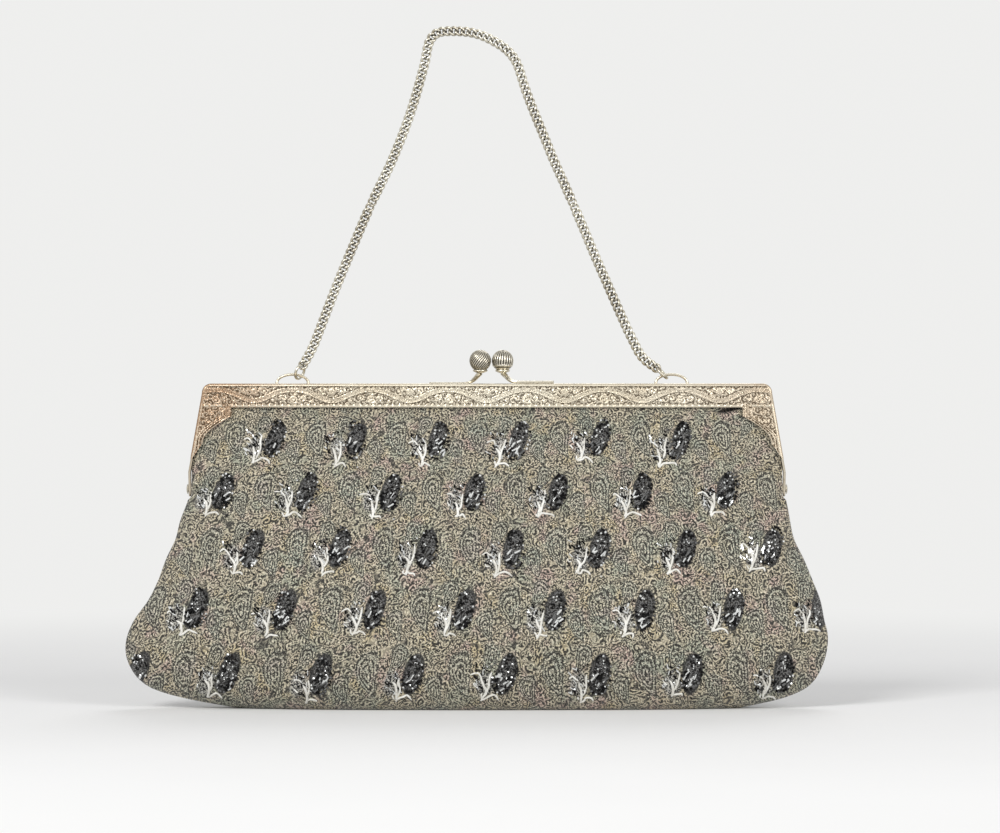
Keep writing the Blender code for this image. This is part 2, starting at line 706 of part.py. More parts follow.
def panel_grid(inset, side):
    """Surface of the cloth on a frame half: out of the rail's channel and down between the arms."""
    shares = column_shares()
    top_z = RAIL_FOOT + CLOTH_TUCK
    foot_z = RIM_Z + GAP
    top_half = arm_half(top_z) - SHEET - GAP
    foot_half = HINGE_HALF - 2 * SHEET - 3 * GAP - RIVET_HEAD
    foot_bulge = RIM_DEPTH - OUTER_CLOTH - SWING_ROOM - SIDE_DEPTH
    levels = [top_z] + [mix(RAIL_FOOT, foot_z, i / (PANEL_ROWS - 1)) for i in range(PANEL_ROWS)]
    rows = []
    for level in levels:
        fall = (top_z - level) / (top_z - foot_z)
        row = []
        for share in shares:
            begun = (abs(share) - PANEL_LIFT_SHARES[0]) / PANEL_LIFT_SHARES[1]
            lift = (HINGE_Z + SHEET - foot_z) * smooth(begun)
            z = mix(top_z, foot_z + lift, fall)
            free = min(max((RAIL_FOOT - z) / (RAIL_FOOT - foot_z), 0), 1)
            edge = mix(EDGE_DEPTH, SIDE_DEPTH, free ** 2)
            x = share * mix(top_half, foot_half, fall)
            across = min(abs(x) / (face_half(z) - GAP), 1)
            bulge = foot_bulge * math.sin(math.pi / 2 * free) * lens(across, 1)
            row.append(Vector((x, side * (edge + bulge - inset), z)))
        rows.append(row)
    return rows


def make_sheet(name, outer, inner, material, pivot=None):
    """Closes two grids, one inside the other, into one piece of cloth."""
    bm = bmesh.new()
    faces = [[[bm.verts.new(point) for point in row] for row in grid] for grid in (outer, inner)]
    rows = len(outer)
    columns = len(outer[0])
    for grid in faces:
        for i in range(rows - 1):
            for j in range(columns - 1):
                bm.faces.new((grid[i][j], grid[i][j + 1], grid[i + 1][j + 1], grid[i + 1][j]))
    border = [(0, j) for j in range(columns)] + [(i, columns - 1) for i in range(1, rows)]
    border += [(rows - 1, j) for j in range(columns - 2, -1, -1)] + [(i, 0) for i in range(rows - 2, 0, -1)]
    for (i, j), (k, m) in zip(border, border[1:] + border[:1]):
        bm.faces.new((faces[0][i][j], faces[0][k][m], faces[1][k][m], faces[1][i][j]))
    add_piece(name, bm, material, pivot, sharp=math.radians(50))


def make_cloth():
    outer = (0, OUTER_CLOTH)
    lining = (OUTER_CLOTH + LAYER_GAP, OUTER_CLOTH + LAYER_GAP + LINING_CLOTH)
    for name, side in (("front", -1), ("back", 1)):
        for layer, insets, drop, material in (("", outer, 0, "brocade"),
                                              ("_lining", lining, LINING_RIM_DROP, "lining")):
            pouch = [pouch_grid(inset, drop, side) for inset in insets]
            make_sheet(name + "_pouch" + layer, *pouch, material)
            panel = [panel_grid(inset, side) for inset in insets]
            make_sheet(name + "_panel" + layer, *panel, material, name + "_hinge")


clear_scene()
materials = {name: make_material(name) for name in COLOURS}
make_pivot("front_hinge", Vector((0, 0, HINGE_Z)))
make_pivot("back_hinge", Vector((0, 0, HINGE_Z)))
make_pivot("chain_swing", Vector((0, BACK_TOP_Y, LUG_AXIS_Z)), "back_hinge")
make_pivot("chain_fold", Vector((0, BACK_TOP_Y, FOLD_Z)), "chain_swing")
make_frame_half("front_frame", -1, "front_hinge", 0)
make_frame_half("back_frame", 1, "back_hinge", SHEET + GAP)
make_rail_cord("front_rail_cord", -1, "front_hinge")
make_rail_cord("back_rail_cord", 1, "back_hinge")
make_rivet("left_rivet", -1)
make_rivet("right_rivet", 1)
make_clasp()
for label, way in (("left", -1), ("right", 1)):
    make_lug(label + "_lug", way)
    make_ring(label + "_jump_ring", way)
make_chain()
make_cloth()
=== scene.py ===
"""Looks of a beaded evening bag: embossed frame, kiss clasp, curb chain, printed cloth and bead sprigs.

Lengths are in millimetres in the code and become metres where a mesh is made. +X is to the right seen from
the front, the front faces -Y and +Z is up.
"""
import bisect
import functools
import random
from math import ceil, copysign, cos, exp, floor, hypot, pi, radians, sin, sqrt, tau

import bmesh
import bpy
import numpy as np
from mathutils import Matrix, Vector, noise


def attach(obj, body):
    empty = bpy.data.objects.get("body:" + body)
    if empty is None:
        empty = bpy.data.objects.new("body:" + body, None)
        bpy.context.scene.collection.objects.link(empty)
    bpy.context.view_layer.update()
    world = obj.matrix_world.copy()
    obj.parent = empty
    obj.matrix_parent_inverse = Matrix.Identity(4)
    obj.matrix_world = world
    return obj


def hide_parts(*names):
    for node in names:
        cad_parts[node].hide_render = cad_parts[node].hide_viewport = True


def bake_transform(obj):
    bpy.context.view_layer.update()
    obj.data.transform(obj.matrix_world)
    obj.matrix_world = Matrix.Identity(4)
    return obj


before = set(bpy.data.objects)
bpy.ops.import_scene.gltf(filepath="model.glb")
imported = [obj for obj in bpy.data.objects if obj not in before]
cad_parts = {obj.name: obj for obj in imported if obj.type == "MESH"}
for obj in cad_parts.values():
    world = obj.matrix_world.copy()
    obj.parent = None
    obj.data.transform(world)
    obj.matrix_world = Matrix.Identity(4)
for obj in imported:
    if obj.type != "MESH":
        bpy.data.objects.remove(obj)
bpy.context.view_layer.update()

MM = 0.001

# Sizes shared with the solids
FRAME_TOP = 114.8
CORNER_HALF = 100.0
HINGE_HALF = 105.5
HINGE_Z = 77.5
CORNER_RADIUS = 3.3
RAIL_FACE = 8.4
BLOCK_HALF = CORNER_HALF - 9.8
BLOCK_DROP = 3.1
SWEEP_DROP = 9.3
ARM_FACE = 3.4
FACE_FOOT = FRAME_TOP - 26.3
FRAME_DEPTH = 5.5
MEET_GAP = 0.15
SHEET = 0.8
EDGE_ROUND = 0.6
RAIL_LEG = 5.0
ARM_LEG = 3.0
EAR_RADIUS = 2.6
EAR_NECK = 6.0
RAIL_FOOT = FRAME_TOP - RAIL_FACE
BLOCK_FOOT = RAIL_FOOT - BLOCK_DROP
TOP_Y = (MEET_GAP + FRAME_DEPTH) / 2
GAP = 0.3
LUG_PLACE = 67.2
LUG_SHIFT = -1.8
LUG_HALF_WIDTH = 5.57
LUG_RISE = 2.97
LUG_WIRE = 0.43
RING_RADIUS = 2.5
RING_WIRE = 0.5
RING_PLAY = 0.35
LINK_PLAY = 0.4
HOOK_SHARES = {-1: 0.38, 1: 0.45}
LEANS = {-1: radians(22), 1: radians(45)}
RING_TURNS = {-1: radians(60), 1: radians(80)}
CHAIN_RISE = 125.0
LINK_PITCH = 2.17
LINK_HALF_LENGTH = 1.6
LINK_HALF_WIDTH = 1.3
LINK_TWIST = radians(55)
LINK_WIRE = 0.42
LINK_EYE = LINK_HALF_LENGTH * cos(pi / 8) - LINK_WIRE * cos(pi / 4)
FOLD_Z = FRAME_TOP + CHAIN_RISE - 61.5
LOOP_Z = FRAME_TOP + CHAIN_RISE - 7.0
BALL_RADIUS = 3.75
BALL_Z = FRAME_TOP + 8.1
CLASP_X = 1.55
BALL_REACH = BALL_RADIUS + 0.2
BALL_LEAN = 1.0

# The photograph's scale, for placing the sprigs and the camera
PX = 0.3527
PX_MIDDLE = 487
PX_BASE = 709


# Mesh helpers

def spokes(count, turn=0.0):
    """Cosine and sine of even steps round a circle."""
    return [(cos(tau * (k + turn) / count), sin(tau * (k + turn) / count)) for k in range(count)]


def finish_mesh(name, points, faces, material, smooth_angle=40, floats=None, vectors=None):
    """One closed mesh in place, in metres, with the values its material reads."""
    mesh = bpy.data.meshes.new(name)
    mesh.from_pydata([tuple(point) for point in np.asarray(points, float) * MM], [], faces)
    mesh.validate()
    for key, values in (floats or {}).items():
        mesh.attributes.new(key, "FLOAT", "POINT").data.foreach_set("value", np.asarray(values, np.float32))
    for key, values in (vectors or {}).items():
        layer = mesh.uv_layers.new(name=key)
        corner = np.zeros(len(mesh.loops), int)
        mesh.loops.foreach_get("vertex_index", corner)
        layer.data.foreach_set("uv", np.asarray(values, np.float32)[corner].ravel())
    bm = bmesh.new()
    bm.from_mesh(mesh)
    bmesh.ops.recalc_face_normals(bm, faces=bm.faces)
    bm.to_mesh(mesh)
    bm.free()
    mesh.shade_smooth()
    mesh.set_sharp_from_angle(angle=radians(smooth_angle))
    mesh.materials.append(material)
    thing = bpy.data.objects.new(name, mesh)
    bpy.context.scene.collection.objects.link(thing)
    return thing


def quads(rows, count, start=0, closed=False, ring=True):
    """Faces between rows of points. Each row is a ring or open; closed joins the last row to the first."""
    faces = []
    for i in range(rows if closed else rows - 1):
        low, high = start + i * count, start + (i + 1) % rows * count
        for j in range(count if ring else count - 1):
            k = (j + 1) % count
            faces.append((low + j, low + k, high + k, high + j))
    return faces


class Soup:
    """Collects lofted shapes that become one mesh; each carries a tint that its material reads: a bead's kind,
    or on metal, painted shade where it is low.
    """

    def __init__(self):
        self.points = []
        self.faces = []
        self.tints = []

    def loft(self, rings, closed=False, tint=1.0):
        start, rows, count = len(self.points), len(rings), len(rings[0])
        for ring in rings:
            self.points.extend(ring)
        self.tints.extend([tint] * (count * rows))
        self.faces += quads(rows, count, start, closed)
        if not closed:
            end = start + rows * count
            self.faces += [tuple(range(start, start + count)), tuple(range(end - count, end))]

    def tube(self, centres, radii, sides, closed=False, up=None):
        """A round section along a path."""
        count = len(centres)
        if not hasattr(radii, "__len__"):
            radii = [radii] * count
        rings = []
        for i, centre in enumerate(centres):
            before = centres[i - 1] if closed or i > 0 else centre
            after = centres[(i + 1) % count] if closed or i < count - 1 else centre
            tangent = (after - before).normalized()
            if up is None:
                up = tangent.orthogonal()
            up = (up - tangent * up.dot(tangent)).normalized()
            across = tangent.cross(up)
            rings.append([centre + across * radii[i] * aside + up * radii[i] * rise
                          for aside, rise in spokes(sides)])
        self.loft(rings, closed)

    def revolve(self, profile, centre, axis, sides):
        side = axis.orthogonal().normalized()
        other = axis.cross(side)
        self.loft([[centre + axis * along + (side * aside + other * rise) * radius
                    for aside, rise in spokes(sides)]
                   for along, radius in profile])

    def build(self, name, material, smooth_angle=40):
        return finish_mesh(name, self.points, self.faces, material, smooth_angle, floats={"tint": self.tints})


def clamp(share):
    return np.clip(share, 0, 1)


def smooth(share):
    share = clamp(share)
    return share * share * (3 - 2 * share)


def mix(low, high, share):
    return low + (high - low) * share


def noise_at(x, y, z=0.0):
    return noise.noise(Vector((x, y, z)))


def curve_through(points, steps):
    """A smooth path through points."""
    path = []
    for i in range(len(points) - 1):
        before = points[max(i - 1, 0)]
        start, end = points[i], points[i + 1]
        after = points[min(i + 2, len(points) - 1)]
        for k in range(steps):
            t = k / steps
            path.append((start * 2 + (end - before) * t + (before * 2 - start * 5 + end * 4 - after) * t ** 2
                         + (start * 3 - before - end * 3 + after) * t ** 3) / 2)
    path.append(points[-1])
    return path


# Materials

class Wire:
    """A value on its way through a material's nodes; sums with it become Math nodes."""

    def __init__(self, paint, socket):
        self.paint = paint
        self.socket = socket

    def __add__(self, other):
        return self.paint.sums("ADD", self, other)

    def __sub__(self, other):
        return self.paint.sums("SUBTRACT", self, other)

    def __rsub__(self, other):
        return self.paint.sums("SUBTRACT", other, self)

    def __mul__(self, other):
        return self.paint.sums("MULTIPLY", self, other)

    def __truediv__(self, other):
        return self.paint.sums("DIVIDE", self, other)

    def step(self, low, high):
        """0 below low, 1 above high, smooth between; turned round where low is the larger."""
        return self.paint.put("ShaderNodeMapRange", {"Value": self, "From Min": low, "From Max": high},
                              interpolation_type="SMOOTHSTEP")

    def spread(self, to_low, to_high, low=0.0, high=1.0):
        """What lies between low and high, moved to lie between two other values."""
        return self.paint.put("ShaderNodeMapRange", {"Value": self, "From Min": low, "From Max": high,
                                                     "To Min": to_low, "To Max": to_high})

    def to(self, share, colour):
        """This colour, mixed towards another by a share."""
        return self.paint.mix(share, self, colour)


class Paint:
    """Builds the nodes of a material, or of another block, around its shader."""

    def __init__(self, name, block=None, shader="Principled BSDF", **settings):
        self.block = block or bpy.data.materials.new(name)
        self.block.use_nodes = True
        self.tree = self.block.node_tree
        self.shader = self.tree.nodes[shader]
        self.set(**settings)

    def feed(self, socket, value):
        value = getattr(value, "socket", value)
        if isinstance(value, bpy.types.NodeSocket):
            self.tree.links.new(value, socket)
        else:
            socket.default_value = value

    def set(self, **sockets):
        for key, value in sockets.items():
            self.feed(self.shader.inputs[key.replace("_", " ")], value)
        return self.block

    def node(self, kind, inputs=None, **settings):
        node = self.tree.nodes.new(kind)
        for key, value in settings.items():
            setattr(node, key, value)
        for key, value in (inputs or {}).items():
            self.feed(node.inputs[key], value)
        return node

    def put(self, kind, inputs=None, out=0, **settings):
        return Wire(self, self.node(kind, inputs, **settings).outputs[out])

    def sums(self, operation, *values):
        return self.put("ShaderNodeMath", dict(enumerate(values)), operation=operation)

    def vector(self, operation, *values, out=0):
        return self.put("ShaderNodeVectorMath", dict(enumerate(values)), out, operation=operation)

    def scale(self, vector, factor):
        return self.put("ShaderNodeVectorMath", {0: vector, "Scale": factor}, operation="SCALE")

    def mix(self, share, low, high, how="MIX"):
        low, high = ((*colour, 1) if isinstance(colour, tuple) else colour for colour in (low, high))
        return self.put("ShaderNodeMix", {0: share, 6: low, 7: high}, 2, data_type="RGBA", blend_type=how)

    def split(self, kind, value):
        """The three parts of a place (XYZ) or of a colour (Color)."""
        return [Wire(self, socket) for socket in self.node("ShaderNodeSeparate" + kind, {0: value}).outputs]

    def join(self, x, y):
        return self.put("ShaderNodeCombineXYZ", {0: x, 1: y})

    def length(self, x, y):
        return self.vector("LENGTH", self.join(x, y), out=1)

    def noise(self, vector, scale, detail=2.0, roughness=0.5, out="Fac"):
        return self.put("ShaderNodeTexNoise", {"Vector": vector, "Scale": scale, "Detail": detail,
                                               "Roughness": roughness}, out)

    def wobbled(self, place, scale, reach):
        bend = self.vector("SUBTRACT", self.noise(place, scale, 1.0, out="Color"), (0.5, 0.5, 0.5))
        return self.vector("ADD", place, self.scale(bend, reach))

    def cells(self, vector, scale, randomness):
        node = self.node("ShaderNodeTexVoronoi", {"Vector": vector, "Scale": scale, "Randomness": randomness},
                         voronoi_dimensions="2D")
        return {key: Wire(self, node.outputs[key]) for key in ("Distance", "Color", "Position")}

    def wave(self, vector, scale, distortion, direction):
        return self.put("ShaderNodeTexWave", {"Vector": vector, "Scale": scale, "Distortion": distortion,
                                              "Detail": 1.0}, "Fac", bands_direction=direction)

    def value(self, name):
        return self.put("ShaderNodeAttribute", out="Fac", attribute_name=name)

    def place(self):
        return self.put("ShaderNodeTexCoord", out="Object")

    def grain(self, stretch, detail, roughness=0.5):
        """Fine noise, drawn out along an axis."""
        return self.noise(self.vector("MULTIPLY", self.place(), stretch), 1.0, detail, roughness)

    def seen(self):
        """1 for what the camera sees, straight or in a reflection."""
        rays = self.node("ShaderNodeLightPath").outputs
        return self.sums("MAXIMUM", rays["Is Camera Ray"], rays["Is Glossy Ray"])

    def finish(self, colour, rough, height, strength, distance):
        normal = self.put("ShaderNodeBump", {"Height": height, "Strength": strength,
                                             "Distance": distance * MM})
        return self.set(Base_Color=colour, Roughness=rough, Normal=normal)


def swirls(paint, place, cell, ring, seed):
    """Spiral curls, one round each random point: the small scrolls of the print and of the engraving."""
    moved = paint.vector("ADD", place, (seed, seed * 0.7, 0.0))
    cells = paint.cells(moved, 1 / cell, 0.9)
    away = paint.vector("SUBTRACT", moved, cells["Position"])
    x, y, _ = paint.split("XYZ", away)
    hand, start, _ = paint.split("Color", cells["Color"])
    turn = paint.sums("ARCTAN2", y, x) * (paint.sums("GREATER_THAN", hand, 0.5) * 2.0 - 1.0)
    return paint.sums("SINE", turn + paint.vector("LENGTH", away, out=1) * (tau / ring) + start * tau)


def metal_material(name, bright, dull, dark, worn, grain, rough, relief=False):
    """Old plated metal: cloudy tarnish, dark recesses, bright worn ridges and fine scratches; plain pieces get
    painted shade where their tint is low.
    """
    paint = Paint(name, Metallic=1.0)
    place = paint.place()
    cloud = paint.noise(place, 60.0, 4.0, 0.6)
    speck = paint.noise(place, 900.0 * grain, 3.0, 0.7)
    body = paint.mix(cloud.step(0.36, 0.66), bright, dull).to(speck.step(0.56, 0.78), dark)
    height = speck
    if relief:
        x, _, z = paint.split("XYZ", paint.scale(place, 1000.0))
        curl = swirls(paint, paint.wobbled(paint.join(x, z), 0.9, 0.9), 2.1, 1.12, 7.0)
        depth = paint.value("relief")
        low = depth.step(0.62, 0.25)
        cut = curl.step(0.02, -0.60) * low
        lit = curl.step(0.35, 0.9) * low
        broken = depth + (speck - 0.5) * 0.6
        body = body.to(paint.value("brown"), worn)
        body = body.to(broken.step(0.50, 0.16) * 0.32, dark).to(depth.step(0.13, 0.03) * 0.7, dark)
        body = body.to(cut * 0.80, dark).to(lit * 0.45, bright).to(broken.step(0.70, 1.0) * 0.7, bright)
        height = speck + (lit - cut) * 0.9
    else:
        # painted shade: a low tint (the balls' flutes, a band under their rim, the inner side of each chain
        # link) takes the colour to dark
        body = body.to(cloud.step(0.60, 0.80), worn).to(paint.value("tint").step(0.8, 0.2) * 0.95, dark)
    rough = (speck * 0.6 + cloud * 0.4).spread(*rough, 0.3, 0.7)
    scratch = paint.grain((300.0, 2200.0, 2200.0), 2.0, 0.6)
    return paint.finish(body, rough, scratch + height, 0.6, 0.06)


PRINT_TILE = (30.6, 20.6)


def print_material():
    """Fine printed paisley on a silky ground, laid out between the bead sprigs."""
    paint = Paint("beaded_cloth", Specular_IOR_Level=0.35, Sheen_Weight=0.25, Sheen_Roughness=0.5)
    place = paint.scale(paint.put("ShaderNodeUVMap", uv_map="print"), 100.0)
    x, y, _ = paint.split("XYZ", place)
    bent = paint.wobbled(place, 0.35, 1.6)
    row = paint.sums("ROUND", y / PRINT_TILE[1])
    across = x / PRINT_TILE[0] + paint.sums("FLOORED_MODULO", row, 2.0) * 0.5
    down = y - row * PRINT_TILE[1]

    def local(shift):
        """Place in mm round the nearest repeat of a motif."""
        return (paint.sums("FRACT", across + shift) - 0.5) * PRINT_TILE[0]

    def drop(x, y, half_width, half_height, bend, taper):
        """0 at the heart of a curved drop, 1 on its outline."""
        tall = y / half_height
        width = (1.0 - tall * taper) * half_width
        return paint.length((x - tall * tall * bend) / paint.sums("MAXIMUM", width, 0.3), tall)

    green = paint.noise(place, 0.07, 2.0, 0.6)
    rose = paint.noise(paint.vector("ADD", place, (91.0, 13.0, 0.0)), 0.10, 2.0, 0.6)
    gold = paint.noise(paint.vector("ADD", place, (17.0, 55.0, 0.0)), 0.11, 2.0, 0.6)
    pale = paint.mix(green.step(0.44, 0.66), (0.53, 0.472, 0.345), (0.42, 0.43, 0.33))
    pale = pale.to(rose.step(0.50, 0.68), (0.535, 0.41, 0.345)).to(gold.step(0.52, 0.70), (0.56, 0.475, 0.30))
    middle = paint.mix(1.0, pale, (0.36, 0.35, 0.34), "MULTIPLY")

    fine_curl = swirls(paint, bent, 1.4, 0.84, 40.0)
    which = paint.noise(place, 0.30, 1.0).step(0.44, 0.54)
    lines = swirls(paint, bent, 2.9, 1.30, 3.0) * (1.0 - which) + fine_curl * which
    thread = paint.noise(place, 2.6, 3.0, 0.7)
    grit = (thread - 0.5) * 5.2

    # a tall curved drop of contour lines midway between the sprigs, and smaller ones above and below it
    tall_drop = drop(local(0.5) - down * 0.16, down, 2.9, 6.2, 1.4, 0.40)
    side_drop = drop(local(0.22) + down * 0.30, down + 4.8, 2.0, 4.0, -1.2, 0.45)
    low_drop = drop(local(0.80) - down * 0.22, down - 5.2, 2.1, 4.2, 1.1, 0.45)
    nearest = paint.sums("MINIMUM", tall_drop, paint.sums("MINIMUM", side_drop, low_drop))
    nearest = nearest + paint.noise(place, 0.5, 1.0) * 0.35
    inside = nearest.step(1.50, 1.34)
    outside = 1.0 - inside
    lines = lines * outside + (paint.sums("SINE", nearest * 18.5) * 0.64 + fine_curl * 0.62) * inside
    pale = pale.to(inside * 0.52, (0.40, 0.425, 0.355))
    middle = middle.to(inside * 0.45, (0.155, 0.165, 0.145))

    # long vines that wander between the motifs
    vine = paint.sums("ABSOLUTE", paint.sums("SINE", paint.noise(bent, 0.085, 1.0, 0.4) * 28.0))
    vines = vine.step(0.30, 0.14) * outside
    halo = vine.step(0.30, 0.40) * vine.step(0.68, 0.54) * outside

    tone = lines * 0.90 + grit
    pale_share = tone.step(0.10, 0.85)
    colour = middle.to(tone.step(0.30, -0.30), (0.020, 0.018, 0.014)).to(pale_share, pale)
    colour = colour.to(halo * 0.45, pale).to(vines * 0.75, (0.03, 0.028, 0.024))
    seeds = paint.cells(bent, 0.95, 1.0)
    pick = paint.sums("GREATER_THAN", paint.split("Color", seeds["Color"])[0], 0.66)
    colour = colour.to(seeds["Distance"].step(0.30, 0.14) * pick * 0.72, (0.78, 0.71, 0.55))

    # the dark ground printed under each beaded body, and the sooty leaves left of it
    sprig = paint.value("sprig")
    body = drop(local(0.0) + down * 0.15, down, 3.35, 6.7, 0.0, 0.12)
    core = body.step(0.88, 0.62) * 0.75 + 0.25
    spotty = fine_curl + grit * 0.4
    grey = paint.mix(spotty.step(0.0, 0.8) * core, (0.006, 0.006, 0.006), (0.165, 0.163, 0.16))
    colour = colour.to(body.step(1.08, 0.94) * sprig * 0.95, grey)
    leaf = paint.length((local(0.0) + 6.6) / 3.2, (down - 3.2) / 4.6)
    leaf_colour = paint.mix(spotty.step(-0.25, 0.55), (0.016, 0.016, 0.018), (0.46, 0.45, 0.41))
    colour = colour.to(leaf.step(1.15, 0.60) * 0.85 * sprig, leaf_colour)
    # painted shade: near-black in the gap under the right end of the front rail, where the cloth is dented
    colour = colour.to(paint.value("slit_dent_and_shade") * 0.88, (0.012, 0.011, 0.010))

    weave = paint.wave(place, 1.5, 0.4, "X") * paint.wave(place, 1.5, 0.4, "Y")
    height = weave * 0.5 + lines * 0.35 + thread * 0.6
    return paint.finish(colour, pale_share.spread(0.72, 0.5), height, 0.6, 0.16)


def satin_material():
    """Champagne satin with a fine diagonal weave and slubs."""
    paint = Paint("lining_satin", Sheen_Weight=0.4, Sheen_Roughness=0.35, Anisotropic=0.4)
    place = paint.place()
    slub = paint.grain((300.0, 300.0, 3000.0), 2.0)
    colour = paint.mix(paint.noise(place, 45.0, 3.0).step(0.35, 0.65), (0.62, 0.56, 0.45), (0.54, 0.47, 0.36))
    colour = colour.to(slub.step(0.55, 0.75), (0.70, 0.65, 0.55))
    height = paint.wave(place, 900.0, 1.0, "DIAGONAL") + slub
    return paint.finish(colour, slub.spread(0.34, 0.5), height, 0.35, 0.05)


def cord_material():
    """Twisted brown paper, fuzzy and matt."""
    paint = Paint("rail_cord", Specular_IOR_Level=0.2)
    fibre = paint.grain((400.0, 2500.0, 2500.0), 3.0, 0.7)
    colour = paint.mix(fibre.step(0.35, 0.7), (0.42, 0.31, 0.19), (0.66, 0.54, 0.38))
    return paint.finish(colour, fibre.spread(0.8, 0.95), fibre, 0.6, 0.1)


def bead_material():
    """Glass beads: jet, gunmetal and silver-lined, told apart by their tint, each a little uneven."""
    paint = Paint("glass_beads", Specular_IOR_Level=0.16)
    tint = paint.value("tint")
    uneven = paint.noise(paint.place(), 700.0, 2.0)
    colour = paint.mix(tint.step(0.35, 0.45), (0.004, 0.004, 0.004), (0.16, 0.16, 0.158))
    colour = colour.to(tint.step(0.75, 0.85), (0.82, 0.83, 0.82))
    colour = colour.to(uneven.step(0.5, 0.8) * 0.6, (0.02, 0.02, 0.022))
    paint.set(Metallic=tint.spread(0.1, 0.85))
    return paint.finish(colour, uneven.spread(0.06, 0.24), uneven, 0.3, 0.05)


def stem_material():
    """Pale silvery thread, wound round and round."""
    paint = Paint("stem_thread", Sheen_Weight=0.2)
    wound = paint.grain((2500.0, 2500.0, 2500.0), 2.0)
    cloud = paint.noise(paint.place(), 200.0, 2.0)
    colour = paint.mix(cloud.step(0.35, 0.7), (0.80, 0.79, 0.74), (0.62, 0.60, 0.54))
    colour = colour.to(wound.step(0.58, 0.75), (0.30, 0.28, 0.24))
    return paint.finish(colour, wound.spread(0.35, 0.6), wound, 0.5, 0.08)


frame_metal = metal_material("embossed_plate", (0.69, 0.635, 0.515), (0.55, 0.485, 0.37), (0.08, 0.058, 0.038),
                             (0.37, 0.245, 0.155), 1.0, (0.26, 0.46), relief=True)
clasp_metal = metal_material("fluted_plate", (0.66, 0.62, 0.52), (0.52, 0.47, 0.375), (0.020, 0.015, 0.011),
                             (0.32, 0.26, 0.18), 1.0, (0.24, 0.42))
chain_metal = metal_material("chain_plate", (0.68, 0.65, 0.56), (0.50, 0.465, 0.385), (0.022, 0.019, 0.015),
                             (0.30, 0.26, 0.20), 1.2, (0.22, 0.40))
cloth_print = print_material()
satin = satin_material()
paper = cord_material()
glass = bead_material()
thread = stem_material()


def carry(piece, body, nodes):
    """Hides the CAD nodes that a piece stands for, and gives the piece the body that it rides on."""
    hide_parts(*nodes)
    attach(piece, body)


# Frame halves

def arm_half(z):
    """Half width over the arms at a height."""
    neck = HINGE_Z + EAR_NECK
    return mix(HINGE_HALF, CORNER_HALF, np.maximum(z - neck, 0) / (FRAME_TOP - neck))


def face_half(z):
    """Half width to the inner edge of the embossed face."""
    narrow = np.minimum(z, BLOCK_FOOT - SWEEP_DROP)
    narrow = arm_half(narrow) - ARM_FACE * np.clip(0.2 + (narrow - FACE_FOOT) / 2.8, 0.2, 1)
    return mix(BLOCK_HALF, narrow, np.sin(np.pi / 2 * clamp((BLOCK_FOOT - z) / SWEEP_DROP)))


def ridge(distance, half):
    """1 on a line, 0 beyond its half width."""
    return clamp(1 - (distance / half) ** 2)


def scrolls(x, z, curls, start=0.0):
    """Raised spiral curls that end in a dot; each has its centre, reach and hand."""
    raised = np.zeros(x.shape)
    for centre_x, centre_z, reach, hand in curls:
        dx, dz = x - centre_x, z - centre_z
        radius = np.hypot(dx, dz)
        line = clamp(np.cos(np.arctan2(dz, dx) * hand + radius * tau / CURL_RING + start) * 1.4)
        line = np.where(radius < reach, line * clamp((reach - radius) / 0.25), 0) + ridge(radius, 0.28)
        raised = np.maximum(raised, line)
    return raised


def rosette(x, z, reach, count):
    """A small flower with a domed heart."""
    radius = np.hypot(x, z)
    angle = np.arctan2(z, x)
    edge = reach * (0.62 + 0.38 * np.abs(np.cos(angle * count / 2)))
    leaf = clamp((edge - radius) / 0.22) * (0.45 + 0.55 * np.abs(np.sin(angle * count / 2)))
    return np.maximum(leaf * (radius > 0.42), ridge(radius, 0.40) * 1.1)


def boteh(x, z, centre_x, centre_z, size, lean):
    """A curved drop with a line inside it."""
    tall = (z - centre_z) / size
    side = x - centre_x - lean * tall * tall * size * 0.45
    side = side / (size * 0.62 * np.clip(1 - tall * 0.55, 0.25, 2))
    reach = np.hypot(side, tall)
    return np.maximum(ridge(reach - 1.0, 0.22), ridge(reach - 0.45, 0.20))


WAVE = 27.35
CURL_RING = 0.95
UPPER_CURLS = ((3.6, 2.9, 1.35, 1), (7.2, 2.3, 0.85, -1), (-3.6, 2.9, 1.35, -1), (-7.2, 2.3, 0.85, 1))
LOWER_CURLS = ((3.2, 5.3, 1.35, -1), (-3.4, 5.3, 1.35, 1), (6.6, 6.2, 0.8, 1), (-6.8, 6.2, 0.8, -1))
ARM_CURLS = ((96.6, 108.4, 1.5, 1), (93.4, 105.6, 1.2, -1), (97.2, 104.4, 1.3, -1), (94.6, 102.2, 1.0, 1),
             (98.4, 101.2, 1.1, 1), (99.2, 98.0, 1.1, -1), (97.4, 98.9, 0.8, 1), (100.4, 94.8, 0.9, 1),
             (93.0, 111.2, 1.1, 1), (101.2, 91.8, 0.8, -1))


def ribbon_height(x):
    """How far below the rail's top the ribbon's middle runs."""
    phase = (x / WAVE) % 1.0
    return 4.15 + 1.95 * np.cos(tau * (phase + 0.035 * np.sin(tau * phase)))


